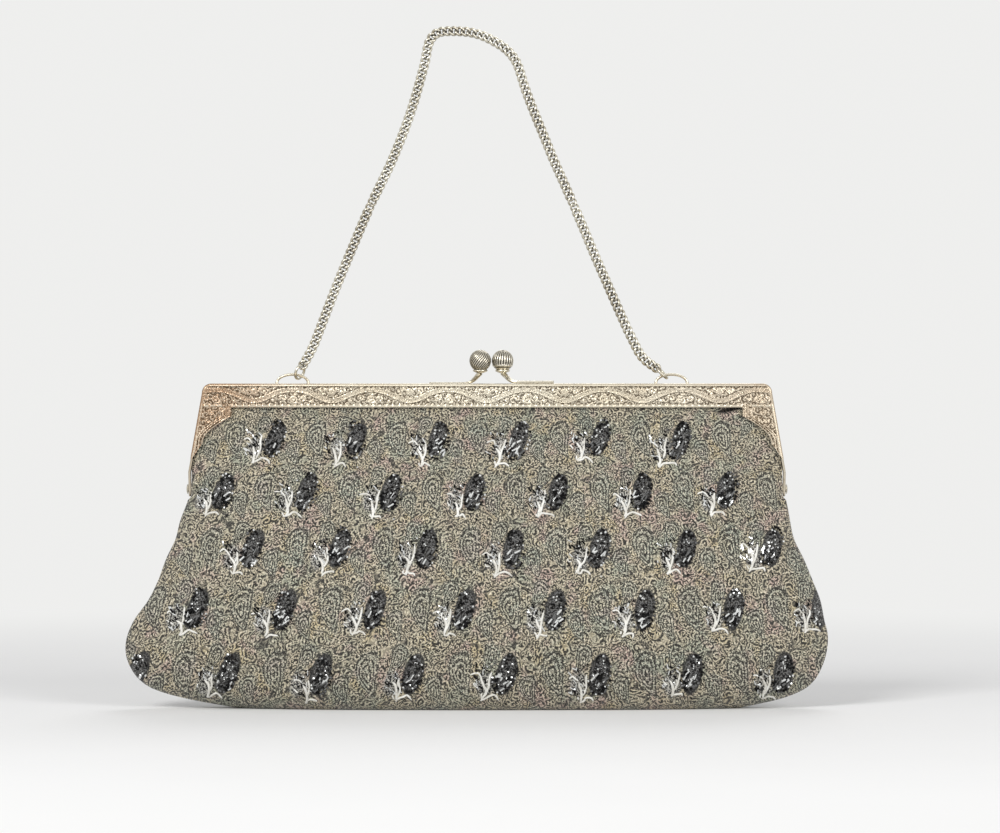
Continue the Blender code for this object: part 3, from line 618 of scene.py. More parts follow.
def rail_relief(x, z):
    """Height of the embossing on the rail, from -1 to 1."""
    drop = FRAME_TOP - z
    slope = (ribbon_height(x + 0.05) - ribbon_height(x - 0.05)) / 0.1
    off = (drop - ribbon_height(x)) / np.hypot(1, slope)
    away = np.abs(off)
    run = x * 1.05 + 0.35 * off * np.sign(slope)
    strip = (away < 0.50) * (0.15 + 0.55 * (np.sin(run * tau / 0.82) > 0))
    local = x - np.round(x / WAVE) * WAVE
    upper = np.maximum(rosette(local, drop - 3.0, 1.5, 5), scrolls(local, drop, UPPER_CURLS))
    for hand in (1, -1):
        upper = np.maximum(upper, boteh(local, -drop, 1.9 * hand, -1.95, 0.7, hand))
    local = (x / WAVE) % 1.0 * WAVE - WAVE / 2
    lower = np.maximum(boteh(local, -drop, 0.0, -5.4, 1.55, 1), scrolls(local, drop, LOWER_CURLS, 1.0))
    height = mix(-0.7, 0.95, clamp(np.where(off < 0, upper, lower)) * clamp((away - 1.2) / 0.15))
    ribbon = mix(-0.6, 0.95, clamp(np.maximum(ridge(away - 0.72, 0.20), strip)))
    height = np.where(away < 0.95, ribbon, height)
    height = np.where(np.abs(away - 1.08) < 0.14, -1.0, height)
    height = mix(height, 0.9, clamp((1.05 - drop) / 0.15))
    height = np.where(np.abs(drop - 1.25) < 0.2, -0.9, height)
    notch = np.where(np.abs((x / 2.3) % 1.0 - 0.5) < 0.07, 0.0, 0.9)
    height = mix(height, notch, clamp((drop - 7.35) / 0.15))
    return np.where(np.abs(drop - 7.25) < 0.16, -0.8, height)


def arm_relief(x, z):
    """Height of the embossing on the corner block and the arm; x is a distance from the middle."""
    slant = clamp((BLOCK_FOOT - z) / SWEEP_DROP)
    inner = (x - face_half(z)) * np.where(slant < 1, np.cos(np.arctan(0.9 * (1 - slant))), 1.0)
    raised = np.maximum(scrolls(x, z, ARM_CURLS), boteh(x, z, 99.0, 108.0, 1.7, -1))
    height = mix(-0.7, 0.9, clamp(raised))
    sweep = np.maximum(ridge(inner - 1.35, 0.34), ridge(inner - 2.25, 0.34))
    height = np.where((inner < 2.75) & (z < BLOCK_FOOT + 1.5), mix(-0.95, 0.95, sweep), height)
    return mix(height, 0.9, np.maximum(clamp((0.55 - inner) / 0.12), clamp((1.15 - arm_half(z) + x) / 0.15)))


def frame_relief(x, z):
    """The rail's pattern between the blocks, ribs at their inner corners, then the arms' pattern."""
    across = np.abs(x)
    outer = arm_half(z) - across
    rail = mix(rail_relief(x, z), 0.9, clamp((1.0 - outer) / 0.15))
    relief = np.where((z > RAIL_FOOT + 0.2) & (outer > 0), rail, arm_relief(across, z))
    ribs = across - BLOCK_HALF
    rib = np.cos(ribs * tau / 0.85) * 0.9
    at_ribs = (ribs > -0.4) & (ribs < 2.3) & (z < RAIL_FOOT + 1.2) & (z > BLOCK_FOOT - 0.4)
    return np.where(at_ribs, rib, relief)


FACE_POINTS = 30
RELIEF = 0.13
STATION_STEP = 0.27


def plate_station(x, z, depth, meet):
    return [x, z, x - SHEET, z, x - SHEET, z, -1, 0, depth, meet, 0]


def channel_station(outer, face, leg, inward=(-1, 0)):
    return [*outer, *face, *leg, *inward, FRAME_DEPTH, MEET_GAP, SHEET]


def frame_stations(ear_inset):
    """Sections of one side, from the ear's foot up the arm, round the corner and along the rail."""
    ear = HINGE_HALF - ear_inset
    rise = FACE_FOOT - HINGE_Z
    stations = []
    for angle in np.radians(np.linspace(-85, 60, 20)):
        height, reach = EAR_RADIUS * sin(angle), EAR_RADIUS * cos(angle)
        depth = reach if height < 0 else mix(EAR_RADIUS, FRAME_DEPTH, height / rise)
        stations.append(plate_station(ear, HINGE_Z + height, depth, -reach))
    neck_depth = mix(EAR_RADIUS, FRAME_DEPTH, EAR_NECK / rise)
    stations.append(plate_station(ear, HINGE_Z + EAR_NECK, neck_depth, MEET_GAP))
    foot = arm_half(FACE_FOOT)
    stations.append(plate_station(foot, FACE_FOOT - EDGE_ROUND, FRAME_DEPTH, MEET_GAP))
    block = (BLOCK_HALF, RAIL_FOOT)
    faces = [(foot - ARM_FACE * 0.2, FACE_FOOT)]
    faces += [(face_half(z), z) for z in BLOCK_FOOT - SWEEP_DROP * np.linspace(1, 0, 33)] + [block]
    stations += [channel_station((arm_half(z), z), (x, z), (arm_half(z) - ARM_LEG, z)) for x, z in faces]
    arc_z = FRAME_TOP - CORNER_RADIUS
    arc_x = arm_half(arc_z) - CORNER_RADIUS
    leg = (CORNER_HALF - RAIL_LEG, FRAME_TOP - RAIL_LEG)
    for angle in np.linspace(0, pi / 2, 17):
        x, z = cos(angle), sin(angle)
        corner = (arc_x + CORNER_RADIUS * x, arc_z + CORNER_RADIUS * z)
        stations.append(channel_station(corner, block, leg, (-x, -z)))
    stations.append(channel_station((leg[0], FRAME_TOP), block, leg, (0, -1)))
    for x in (BLOCK_HALF, 0.0):
        stations.append(channel_station((x, FRAME_TOP), (x, RAIL_FOOT), (x, FRAME_TOP - RAIL_LEG), (0, -1)))
    stations = np.array(stations)
    dense = []
    for low, high in zip(stations, stations[1:]):
        span = max(np.hypot(*(high - low)[:2]), np.hypot(*(high - low)[2:4]) * 0.8)
        count = max(ceil(span / STATION_STEP), 1)
        dense += [mix(low, high, k / count) for k in range(count)]
    return np.array(dense + [stations[-1]])


def make_frame_half(name, side, body, ear_inset):
    """The pressed channel with its embossing; side is -1 for the front half and 1 for the back half."""
    stations = frame_stations(ear_inset)
    left = stations * np.array([-1, 1, -1, 1, -1, 1, -1, 1, 1, 1, 1])
    stations = np.concatenate([stations, left[-2::-1]])
    outer, face, leg, inward = (stations[:, i:i + 2] for i in (0, 2, 4, 6))
    depth, meet, sheet = (stations[:, i:i + 1] for i in (8, 9, 10))
    points, depths, reliefs = [], [], []

    def add(place, y, relief=0.5):
        points.append(place)
        depths.append(y[:, 0])
        reliefs.append(np.broadcast_to(relief, len(place)))

    add(outer, meet)
    add(outer, (meet + depth) / 2)
    for share in (0.0, 0.25, 0.5, 0.75):
        bend = pi / 2 * share
        add(outer + inward * EDGE_ROUND * (1 - cos(bend)), depth - EDGE_ROUND * (1 - sin(bend)), 0.68)
    start = outer + inward * EDGE_ROUND
    embossed = sheet[:, 0] > 0
    for share in np.linspace(0, 1, FACE_POINTS):
        place = mix(start, face, share)
        fade = clamp(np.minimum(share, 1 - share) * np.hypot(*(face - start).T) / 0.3) * embossed
        height = frame_relief(place[:, 0], place[:, 1]) * fade + 0.6 * (1 - fade)
        add(place, depth + height[:, None] * RELIEF * embossed[:, None], (height + 1) / 2)
    add(face, depth - sheet * 0.25, 0.8)
    add(face, depth - sheet)
    corner = outer + inward * SHEET
    add(corner, depth - sheet)
    add(corner, meet + sheet)
    add(leg, meet + sheet)
    add(leg, meet)
    count, rows = len(points), len(stations)
    places = np.stack(points, axis=1)
    vertices = np.stack([places[:, :, 0], side * np.stack(depths, axis=1), places[:, :, 1]], axis=2)
    vertices = vertices.reshape(-1, 3)
    faces = quads(rows, count) + [tuple(range(count)), tuple(range((rows - 1) * count, rows * count))]
    across = np.abs(vertices[:, 0])
    brown = smooth((across - 62) / 34) * 0.72 + 0.28 * smooth((across - 20) / 50)
    brown = brown * mix(1.0, 0.45, smooth((vertices[:, 0] * -side + 60) / 120))
    brown = brown * mix(0.25, 1.0, smooth((vertices[:, 2] - FACE_FOOT + 1.5) / 3))
    tints = {"relief": np.stack(reliefs, axis=1).ravel(), "brown": brown}
    carry(finish_mesh(name, vertices, faces, frame_metal, 38, tints), body, [name])


make_frame_half("front_frame", -1, "front_half", 0.0)
make_frame_half("back_frame", 1, "back_half", SHEET + GAP)


# Clasp

BALL_BANDS = 44
BALL_SIDES = 168
HALF_FLUTES = 12
FOOT_REACH = 18.1
# shares of the way out, up and across, and how round the section is, from the foot to the cup
ARM_ROUTE = ((1.0, 0, 0, 0), (0.9, 0, 0, 0), (0.5, 0, 0, 0), (0.30, 0.01, 0, 0.05), (0.19, 0.10, 0.08, 0.4),
             (0.12, 0.36, 0.35, 0.8), (0.05, 0.74, 0.8, 1), (0, 1, 1, 1))
UP = Vector((0, 0, 1))
BACK = Vector((0, 1, 0))


def make_ball(name, centre, turn, smooth_foot, body):
    """A ball with fine flutes that run from pole to pole, slanting by a turn; painted shade darkens the flutes
    and a band under the rim.
    """
    soup = Soup()
    rings, tints = [], []
    for i in range(BALL_BANDS + 1):
        polar = pi * min(max(i / BALL_BANDS, 0.004), 0.996)
        deep = 0.085 * sin(polar) ** 0.5 if polar < smooth_foot else 0
        rim = 0.24 * exp(-((polar - smooth_foot - 0.09) / 0.07) ** 2)
        under_rim_shade = 1 - 0.9 * exp(-((polar - smooth_foot - 0.27) / 0.07) ** 2)
        ring = []
        for j, (x, y) in enumerate(spokes(BALL_SIDES)):
            groove = abs(sin(HALF_FLUTES * (tau * j / BALL_SIDES + turn * i / BALL_BANDS)))
            # painted shade: low tints darken the bottom of each flute, and a band just under the rim
            tints.append(groove ** 1.8 if deep else under_rim_shade)
            radius = (BALL_RADIUS + 0.1) * (1 - deep * (1 - groove ** 0.8)) + rim
            ring.append(centre + Vector((sin(polar) * x, sin(polar) * y, cos(polar))) * radius)
        rings.append(ring)
    soup.loft(rings)
    soup.tints = tints
    carry(soup.build(name, clasp_metal, 60), body, [name])


def make_cup(name, centre, body):
    """The dish under a ball, with a rolled rim."""
    inner = BALL_RADIUS + 0.12
    outer = inner + 0.62
    profile = [(-sqrt(outer ** 2 - r * r), r) for r in np.linspace(0.05, 2.3, 9)]
    rim_along = -(sqrt(outer ** 2 - 2.3 ** 2) + sqrt(inner ** 2 - 2.3 ** 2)) / 2
    profile += [(rim_along + 0.33 * sin(a), 2.36 + 0.30 * cos(a)) for a in np.linspace(-1.2, 1.9, 7)]
    profile += [(-sqrt(inner ** 2 - r * r), r) for r in np.linspace(2.2, 0.05, 9)]
    soup = Soup()
    soup.revolve(profile, centre, UP, 40)
    carry(soup.build(name, clasp_metal), body, [name])


def make_clasp_arm(name, centre, direction, foot_y, body):
    """From a flat foot on the rail, bent up and across to the cup."""
    top = centre.z - BALL_RADIUS - 0.62
    foot_half = 0.5 if foot_y < 0 else 0.26
    low = FRAME_TOP + foot_half + 0.02
    points = [Vector((centre.x + direction * FOOT_REACH * reach, mix(foot_y, centre.y, across),
                      mix(low, top, rise))) for reach, rise, across, _ in ARM_ROUTE]
    path = curve_through(points, 8)
    rings = []
    for i, point in enumerate(path):
        k = min(i // 8, len(ARM_ROUTE) - 2)
        change = mix(ARM_ROUTE[k][3], ARM_ROUTE[k + 1][3], i / 8 - k)
        tangent = (path[min(i + 1, len(path) - 1)] - path[max(i - 1, 0)]).normalized()
        wide = (BACK - tangent * tangent.y).normalized()
        thick = tangent.cross(wide)
        half_width = mix(1.5, 0.88, change) * min(1.0, 0.55 + i * 0.15)
        half_thick = mix(foot_half, 0.88, change)
        square = mix(0.4, 1, change)
        rings.append([point + wide * half_width * copysign(abs(x) ** square, x)
                      + thick * half_thick * copysign(abs(z) ** square, z) for x, z in spokes(20, 0.5)])
    soup = Soup()
    soup.loft(rings)
    carry(soup.build(name, clasp_metal), body, [name])


for label, direction, side in (("front", 1, -1), ("back", -1, 1)):
    ball_centre = Vector((CLASP_X + direction * BALL_REACH, -side * BALL_LEAN, BALL_Z))
    half_body = label + "_half"
    make_ball(label + "_clasp_ball", ball_centre, radians(20 if side < 0 else 150),
              1.95 if side < 0 else pi, half_body)
    make_cup(label + "_ball_cup", ball_centre, half_body)
    make_clasp_arm(label + "_clasp_arm", ball_centre, direction, side * TOP_Y, half_body)


# Rivets and rail cords

RIVET_ENDS = (102.72, 105.83)
RIVET_HEAD = 1.8
RIVET_DOME = 0.55
CORD_HALF = 91.5
CORD_Z = 112.5
CORD_RADIUS = 1.08

for label, mirror in (("left", -1), ("right", 1)):
    profile = [(RIVET_ENDS[0] + RIVET_DOME * (1 - cos(a)), RIVET_HEAD * sin(a))
               for a in np.linspace(0.03, pi / 2, 8)]
    profile += [(103.3, 1.75), (103.3, 1.0), (105.8, 1.0), (105.8, 1.75)]
    profile += [(RIVET_ENDS[1] + RIVET_DOME * cos(a), RIVET_HEAD * sin(a))
                for a in np.linspace(pi / 2, 0.03, 8)]
    soup = Soup()
    soup.revolve(profile, Vector((0, 0, HINGE_Z)), Vector((mirror, 0, 0)), 32)
    carry(soup.build(label + "_rivet", clasp_metal), "pouch", [label + "_rivet"])

for label, side in (("front", -1), ("back", 1)):
    soup = Soup()
    rings = []
    for i in range(366):
        x = -CORD_HALF + i * 0.5
        ring = []
        for k, (aside, rise) in enumerate(spokes(18)):
            radius = CORD_RADIUS + 0.1 * cos(3 * (tau * k / 18 + x * 1.1))
            ring.append(Vector((x, side * TOP_Y + radius * aside, CORD_Z + radius * rise)))
        rings.append(ring)
    soup.loft(rings)
    carry(soup.build(label + "_rail_cord", paper, 60), label + "_half", [label + "_rail_cord"])


# Lugs, jump rings and chain

def ring_layout(mirror):
    """A jump ring's centre and upward way, and where the chain starts at it."""
    lean = LEANS[mirror]
    share = HOOK_SHARES[mirror]
    hook = Vector((mirror * (LUG_PLACE - LUG_HALF_WIDTH * share) + LUG_SHIFT, TOP_Y,
                   FRAME_TOP + GAP + LUG_RISE * sqrt(1 - share ** 2)))
    up = Vector((-mirror * sin(lean), 0, cos(lean)))
    centre = hook + up * (RING_RADIUS - LUG_WIRE - RING_WIRE - RING_PLAY)
    start = centre + up * (RING_RADIUS - RING_WIRE - LINK_PLAY + LINK_EYE - LINK_PITCH / 2)
    return centre, up, start


for label, mirror in (("left", -1), ("right", 1)):
    soup = Soup()
    centres = [Vector((mirror * LUG_PLACE + LUG_SHIFT + LUG_HALF_WIDTH * cos(a), TOP_Y,
                       FRAME_TOP + GAP + LUG_RISE * sin(a))) for a in np.linspace(0, pi, 41)]
    centres = [centres[0] - UP * 0.35, *centres, centres[-1] - UP * 0.35]
    radii = [LUG_WIRE * mix(1.35, 1.12, min(i, 40 - i, 4) / 4) for i in range(41)]
    soup.tube(centres, [LUG_WIRE * 1.4, *radii, LUG_WIRE * 1.4], 14)
    carry(soup.build(label + "_lug", clasp_metal), "back_half", [label + "_lug"])
    middle, up, _ = ring_layout(mirror)
    across = BACK.cross(up) * cos(RING_TURNS[mirror]) + BACK * sin(RING_TURNS[mirror])
    soup = Soup()
    soup.tube([middle + up * RING_RADIUS * rise + across * RING_RADIUS * aside for rise, aside in spokes(48)],
              RING_WIRE, 12, closed=True, up=up.cross(across))
    carry(soup.build(label + "_jump_ring", chain_metal), "chain_lower", [label + "_jump_ring"])


def chain_route():
    """The chain's centre line from the left ring over the top to the right ring, as in the solids."""
    route_shares = (
        (-0.941, 0.081), (-0.911, 0.114), (-0.876, 0.163), (-0.804, 0.264), (-0.726, 0.366), (-0.619, 0.501),
        (-0.499, 0.636), (-0.402, 0.772), (-0.330, 0.907), (-0.315, 0.952), (-0.297, 0.979), (-0.262, 0.996),
        (-0.216, 1.0), (-0.152, 1.0), (-0.089, 0.997), (-0.027, 0.988), (0.031, 0.973), (0.089, 0.954),
        (0.134, 0.930), (0.165, 0.900), (0.200, 0.839), (0.247, 0.772), (0.299, 0.704), (0.350, 0.636),
        (0.406, 0.569), (0.461, 0.501), (0.515, 0.433), (0.567, 0.366), (0.650, 0.264), (0.733, 0.163),
        (0.775, 0.117), (0.802, 0.088), (0.833, 0.067), (0.869, 0.053),
    )
    points = [ring_layout(-1)[2]]
    points += [Vector((LUG_PLACE * aside, TOP_Y, FRAME_TOP + CHAIN_RISE * rise))
               for aside, rise in route_shares]
    points.append(ring_layout(1)[2])
    return curve_through(points, 24)


def even_places(stretch):
    """Places of the contacts between links, in equal steps along a stretch."""
    lengths = [0.0]
    for start, end in zip(stretch, stretch[1:]):
        lengths.append(lengths[-1] + (end - start).length)
    count = ceil(lengths[-1] / LINK_PITCH)
    places = []
    for i in range(count + 1):
        wanted = lengths[-1] * i / count
        k = min(max(bisect.bisect_left(lengths, wanted) - 1, 0), len(stretch) - 2)
        places.append(stretch[k].lerp(stretch[k + 1], (wanted - lengths[k]) / (lengths[k + 1] - lengths[k])))
    return places


def add_link(soup, start, end):
    """A twisted oval link between two contacts, with painted shade on the inner side of its wire; the wire is
    thinner in the links at the fold.
    """
    near_fold = min(abs(start.z - FOLD_Z), abs(end.z - FOLD_Z)) < 0.5
    wire, swell = (0.385, 0.0) if near_fold else (0.41, 0.13)
    along = (end - start).normalized()
    middle = (start + end) / 2
    wide = BACK.cross(along).normalized()
    high = along.cross(wide)
    centres, radii = [], []
    for reach, aside in spokes(22):
        radii.append(wire + swell * abs(aside) ** 1.5)
        twist = LINK_TWIST * reach
        side = LINK_HALF_WIDTH * aside
        centres.append(middle + along * LINK_HALF_LENGTH * reach + wide * side * cos(twist)
                       + high * side * sin(twist))
    first = len(soup.points)
    soup.tube(centres, radii, 9, closed=True, up=high)
    # painted shade: the wire's inner side, towards the link's middle, gets a low tint that the metal turns
    # dark
    for index in range(first, len(soup.points)):
        point = soup.points[index] - middle
        away = hypot(point.dot(along) * 0.72, point.dot(wide))
        soup.tints[index] = float(smooth((away - 0.66) / 0.45))


def make_chain():
    route = chain_route()
    above = [i for i, point in enumerate(route) if point.z > FOLD_Z]
    ends = []
    for low, high in ((above[0] - 1, above[0]), (above[-1] + 1, above[-1])):
        ends.append(route[low].lerp(route[high], (FOLD_Z - route[low].z) / (route[high].z - route[low].z)))
    left = even_places(route[:above[0]] + [ends[0]])
    upper = even_places([ends[0]] + route[above[0]:above[-1] + 1] + [ends[1]])
    right = even_places([ends[1]] + route[above[-1] + 1:])
    low = next(i for i, place in enumerate(upper) if place.z > LOOP_Z)
    high = len(upper) - 1 - next(i for i, place in enumerate(reversed(upper)) if place.z > LOOP_Z)
    for name, places, body in (("chain_left_lower", left, "chain_lower"),
                               ("chain_left_upper", upper[:low + 1], "chain_upper"),
                               ("chain_top", upper[low:high + 1], "chain_upper"),
                               ("chain_right_upper", upper[high:], "chain_upper"),
                               ("chain_right_lower", right, "chain_lower")):
        soup = Soup()
        for start, end in zip(places, places[1:]):
            add_link(soup, start, end)
        carry(soup.build(name, chain_metal, 60), body, [name])


make_chain()


# Cloth

# height, and how far the outline stands left and right of the middle
OUTLINE = ((0, 88, 89), (3, 105, 103), (6.5, 117.5, 112), (10, 123, 116), (14, 126, 118.3), (21, 128, 120.4),
           (26, 127.2, 120.6), (31, 125, 119.4), (38, 120, 118), (45, 116.5, 115.3), (53, 113.5, 112),
           (60, 110.2, 108.6), (66, 108.7, 107.3), (71, 106.8, 106.4), (73.4, 105.8, 105.8))
# how far the cloth reaches beside the ears: they stand further in on the back half
EAR_ROOM = {-1: 104.25, 1: 103.3}
# height, and how far the middle of the cloth stands in front of the meeting plane
FULLNESS = ((24, 19), (30, 18.7), (42, 16.9), (54, 14.2), (66, 11.7), (77, 9.5), (88, 7.5), (98, 5.7),
            (106.4, 4.25), (112, 4.2))
BELLY_Z = 24.0
BELLY_HALF = 19.0
BASE_HALF = 9.5
TUCK_Z = 110.0
SEAM_Z = 70.0
SIDE_Z = 77.0
ROW_COUNTS = (28, 82, 22, 6)
SLIT_FINE = 98.0
SLIT_PLACE = (85.4, 105.6)
SLIT_HALF = (4.2, 0.75)
SLIT_DEPTH = 2.3
SLIT_TURN = Matrix.Rotation(radians(-15), 2)
COLUMNS = 190


def smooth_table(table, column):
    heights = [float(row[0]) for row in table]
    values = [float(row[column]) for row in table]
    return heights, values, [float(slope) for slope in np.gradient(values, heights)]


LEFT_LINE = smooth_table(OUTLINE, 1)
RIGHT_LINE = smooth_table(OUTLINE, 2)
FULL_LINE = smooth_table(FULLNESS, 1)


def through(line, z):
    """A smooth line through a table's values."""
    heights, values, slopes = line
    z = min(max(z, heights[0]), heights[-1])
    i = min(max(bisect.bisect_left(heights, z) - 1, 0), len(heights) - 2)
    step = heights[i + 1] - heights[i]
    t = (z - heights[i]) / step
    return ((2 * t ** 3 - 3 * t ** 2 + 1) * values[i] + (t ** 3 - 2 * t ** 2 + t) * step * slopes[i]
            + (3 * t ** 2 - 2 * t ** 3) * values[i + 1] + (t ** 3 - t ** 2) * step * slopes[i + 1])


def ease(share):
    share = min(max(share, 0.0), 1.0)
    return share * share * (3 - 2 * share)


def slit_dent_and_shade(x, z, side):
    """1 where the front cloth has come away from the rail a little, beside the right block: the cloth is
    dented there, and the print paints the gap's shade near-black.
    """
    if side > 0 or z < SLIT_FINE:
        return 0.0
    along, aside = SLIT_TURN @ (Vector((x, z)) - Vector(SLIT_PLACE))
    return ease((1.5 - hypot(along / SLIT_HALF[0], aside / SLIT_HALF[1])) / 0.9)


@functools.cache
def cloth_limits(z, side):
    """Middle and half width of the cloth at a height."""
    if z > 75.4:
        return 0.0, min(EAR_ROOM[side], float(arm_half(z)) - SHEET - GAP)
    left, right = through(LEFT_LINE, z), through(RIGHT_LINE, z)
    share = ease((z - 73.4) / 2)
    left, right = mix(left, EAR_ROOM[side], share), mix(right, EAR_ROOM[side], share)
    return (right - left) / 2, (right + left) / 2


@functools.cache
def cloth_row(z):
    """What the cloth's depth needs to know of a height."""
    if z < BELLY_Z:
        middle = mix(BASE_HALF, BELLY_HALF, sqrt(max(1 - (1 - z / BELLY_Z) ** 2, 0)))
    else:
        middle = through(FULL_LINE, z)
    height = ease((z - BELLY_Z) / (75 - BELLY_Z))
    edge = mix(3.3, 4.2, ease((z - SIDE_Z) / 20))
    low = mix(MEET_GAP, edge, ease((z - SEAM_Z) / (SIDE_Z - SEAM_Z)))
    return middle, mix(2.8, 6.0, height), mix(0.75, 0.6, height), low, float(face_half(z)) - 0.8


def cloth_depth(x, z, share, inset, side):
    """How far the cloth stands from the meeting plane."""
    middle, power, roundness, low, inner = cloth_row(z)
    plump = max(1 - abs(share) ** power, 0) ** roundness
    if z > SIDE_Z:
        across = min(abs(x) / inner, 1)
        plump = mix(plump, max(1 - across ** 6, 0) ** 0.6, ease((z - SIDE_Z) / 6))
    way = x * -side
    free = ease((RAIL_FOOT - z) / 5) * max(1 - abs(share) ** 10, 0)
    wrinkle = 0.35 * noise_at(way * 0.16, z * 0.022, side * 5 + 3) * ease((z - 60) / 40)
    wrinkle += 0.9 * noise_at(way * 0.022, z * 0.03, side * 9 + 20)
    wrinkle += 0.3 * noise_at(way * 0.07, z * 0.06, side * 9 + 40)
    gather = 0.22 * sin(way * 1.05 + 2.5 * noise_at(way * 0.05, 7, 0)) * ease((z - 84) / 20)
    deep = low + max(middle - low, 0) * plump + (wrinkle + gather) * free * min(plump * 1.5, 1)
    deep -= SLIT_DEPTH * slit_dent_and_shade(x, z, side) * ease((RAIL_FOOT + 1.5 - z) / 1.5)
    return max(deep - inset, min(low, 2.2) * 0.3)


def cloth_point(x, z, side, inset=0.0):
    middle, half = cloth_limits(z, side)
    share = min(max((x - middle) / (half - inset), -1), 1)
    return Vector((middle + share * (half - inset), side * cloth_depth(x, z, share, inset, side), z))


def print_place(x, z, under=0.0):
    """Place in the printed repeat: columns and rows of sprigs, as the photograph counts them."""
    down = PX_BASE - z / PX
    row = (-ROW_STEP + sqrt(ROW_STEP ** 2 + 4 * ROW_GROWTH * max(down - ROW_TOP, -290))) / (2 * ROW_GROWTH)
    low = down - COLUMN_LEVEL
    column = (x / PX + PX_MIDDLE - COLUMN_MIDDLE + COLUMN_LEAN * low) / (COLUMN_STEP + COLUMN_GROWTH * low)
    return column, row + under / 22.6


# in the photograph's pixels: the first row of sprigs, the step to the next and how much that grows; then the
# middle column's place at a level, its lean, and the columns' step and growth
ROW_TOP, ROW_STEP, ROW_GROWTH = 439, 50, 2.1
COLUMN_LEVEL, COLUMN_MIDDLE, COLUMN_LEAN = 440, 478, 0.0776
COLUMN_STEP, COLUMN_GROWTH = 81.2, 0.0478
# columns of the first and last sprig in each row; the columns of every second row stand half a step aside
SPRIG_SPANS = ((-2.5, 2.5), (-3.0, 3.0), (-2.5, 3.5), (-3.0, 4.0), (-3.5, 3.5))


def has_sprig(column, row):
    """1 where the nearest printed sprig is a beaded one."""
    row = round(row)
    if not 0 <= row < len(SPRIG_SPANS):
        return 0.0
    nearest = floor(column) + 0.5 if row % 2 == 0 else round(column)
    return float(SPRIG_SPANS[row][0] <= nearest <= SPRIG_SPANS[row][1])


def cloth_rows():
    """Heights of the rows, with how much cloth has gone under by then, and how far each still stands out."""
    rows = [(z, 0.0, 1.0) for z in np.linspace(TUCK_Z, SLIT_FINE, ROW_COUNTS[0], endpoint=False)]
    rows += [(z, 0.0, 1.0) for z in np.linspace(SLIT_FINE, BELLY_Z, ROW_COUNTS[1] + 1)]
    under = 0.0
    last = (BELLY_Z, BELLY_HALF)
    for angle in np.linspace(pi / 2, 0, ROW_COUNTS[2] + 1)[1:]:
        here = (BELLY_Z * (1 - cos(angle)), mix(BASE_HALF, BELLY_HALF, sin(angle)))
        under += hypot(here[0] - last[0], here[1] - last[1]) - (last[0] - here[0])
        last = here
        rows.append((here[0], under, 1.0))
    shares = [i / ROW_COUNTS[3] for i in range(1, ROW_COUNTS[3] + 1)]
    return rows + [(0.0, under + BASE_HALF * share, 1 - share) for share in shares]


def make_cloth(name, side, insets, material, nodes):
    """A closed shell from inside the rail down to the seam under the base."""
    vertices, uvs, sprigs, painted_slit_shade = [], [], [], []
    rows = cloth_rows()
    shares = np.sin(np.linspace(-1, 1, COLUMNS + 1) * pi / 2 * 0.92) / sin(pi / 2 * 0.92)
    for inset in insets:
        for z, under, keep in rows:
            height = max(z, inset + 0.02)
            middle, half = cloth_limits(height, side)
            for share in shares:
                x = middle + share * (half - inset)
                deep = cloth_depth(x, height, share, inset, side)
                vertices.append((x, side * mix(MEET_GAP, deep, keep), height if z > 0 else inset))
                column, row = print_place(x * -side, z, under)
                uvs.append((column * PRINT_TILE[0] / 100, row * PRINT_TILE[1] / 100))
                sprigs.append(has_sprig(column, row))
                # the slit's painted shade, which the print reads
                painted_slit_shade.append(slit_dent_and_shade(x, height, side))
    wide = COLUMNS + 1
    layer = len(rows) * wide
    faces = quads(len(rows), wide, ring=False) + quads(len(rows), wide, layer, ring=False)
    border = [*range(wide), *range(2 * wide - 1, layer, wide), *range(layer - 2, layer - wide - 1, -1),
              *range(layer - 2 * wide, 0, -wide)]
    faces += [(a, b, b + layer, a + layer) for a, b in zip(border, border[1:] + border[:1])]
    piece = finish_mesh(name, vertices, faces, material, 60, {"sprig": sprigs, "slit_dent_and_shade": painted_slit_shade}, {"print": uvs})
    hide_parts(*nodes)
    cross_hinge(piece)


def cross_hinge(piece):
    """Bakes the piece's transform into its mesh; it is not split or bent between the pouch below the hinge and
    the frame half above it.
    """
    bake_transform(piece)


for label, side in (("front", -1), ("back", 1)):
    make_cloth(label + "_cloth", side, (0.0, 0.9), cloth_print,
               [label + "_panel", label + "_pouch"])
    make_cloth(label + "_lining", side, (1.3, 1.8), satin,
               [label + "_panel_lining", label + "_pouch_lining"])


# Beads and stems

def on_cloth(x, z, side, lift):
    """A place just over the cloth, and the axes of the cloth there."""
    here = cloth_point(x, z, side)
    right = (cloth_point(x + 0.6, z, side) - cloth_point(x - 0.6, z, side)).normalized()
    up = (cloth_point(x, z + 0.6, side) - cloth_point(x, z - 0.6, side)).normalized()
    out = right.cross(up) * -side
    if out.y * side < 0:
        out = -out
    return here + out.normalized() * lift, right, up, out.normalized()


# a sprig's stems in mm from its heart, each with its radius, and the loose seeds among them
STEMS = (
    (((-7.1, -9.3), (-6.2, -7.1), (-6.4, -4.4), (-7.7, -2.0)), 0.46),
    (((-6.3, -7.4), (-5.2, -4.4), (-4.6, -1.4), (-4.5, 1.2)), 0.40),
    (((-7.1, -9.3), (-5.6, -8.3), (-3.8, -7.6), (-1.9, -7.9), (-0.6, -9.2)), 0.36),
    (((-7.5, -2.3), (-8.8, -0.7), (-10.4, -0.2), (-11.6, -0.9)), 0.30),
    (((-7.8, -7.6), (-7.4, -8.4), (-7.2, -9.1)), 0.28),
    (((-10.6, -4.0), (-9.7, -4.9), (-8.9, -5.4)), 0.26),
    (((-5.2, -4.0), (-6.0, -2.9), (-5.8, -1.5)), 0.24),
)
SMALL_SEEDS = ((-5.4, 2.7), (-7.1, 0.3), (-7.9, -0.5), (-7.8, -6.2), (-8.6, -3.4), (-4.1, 3.2), (0.9, -9.6))


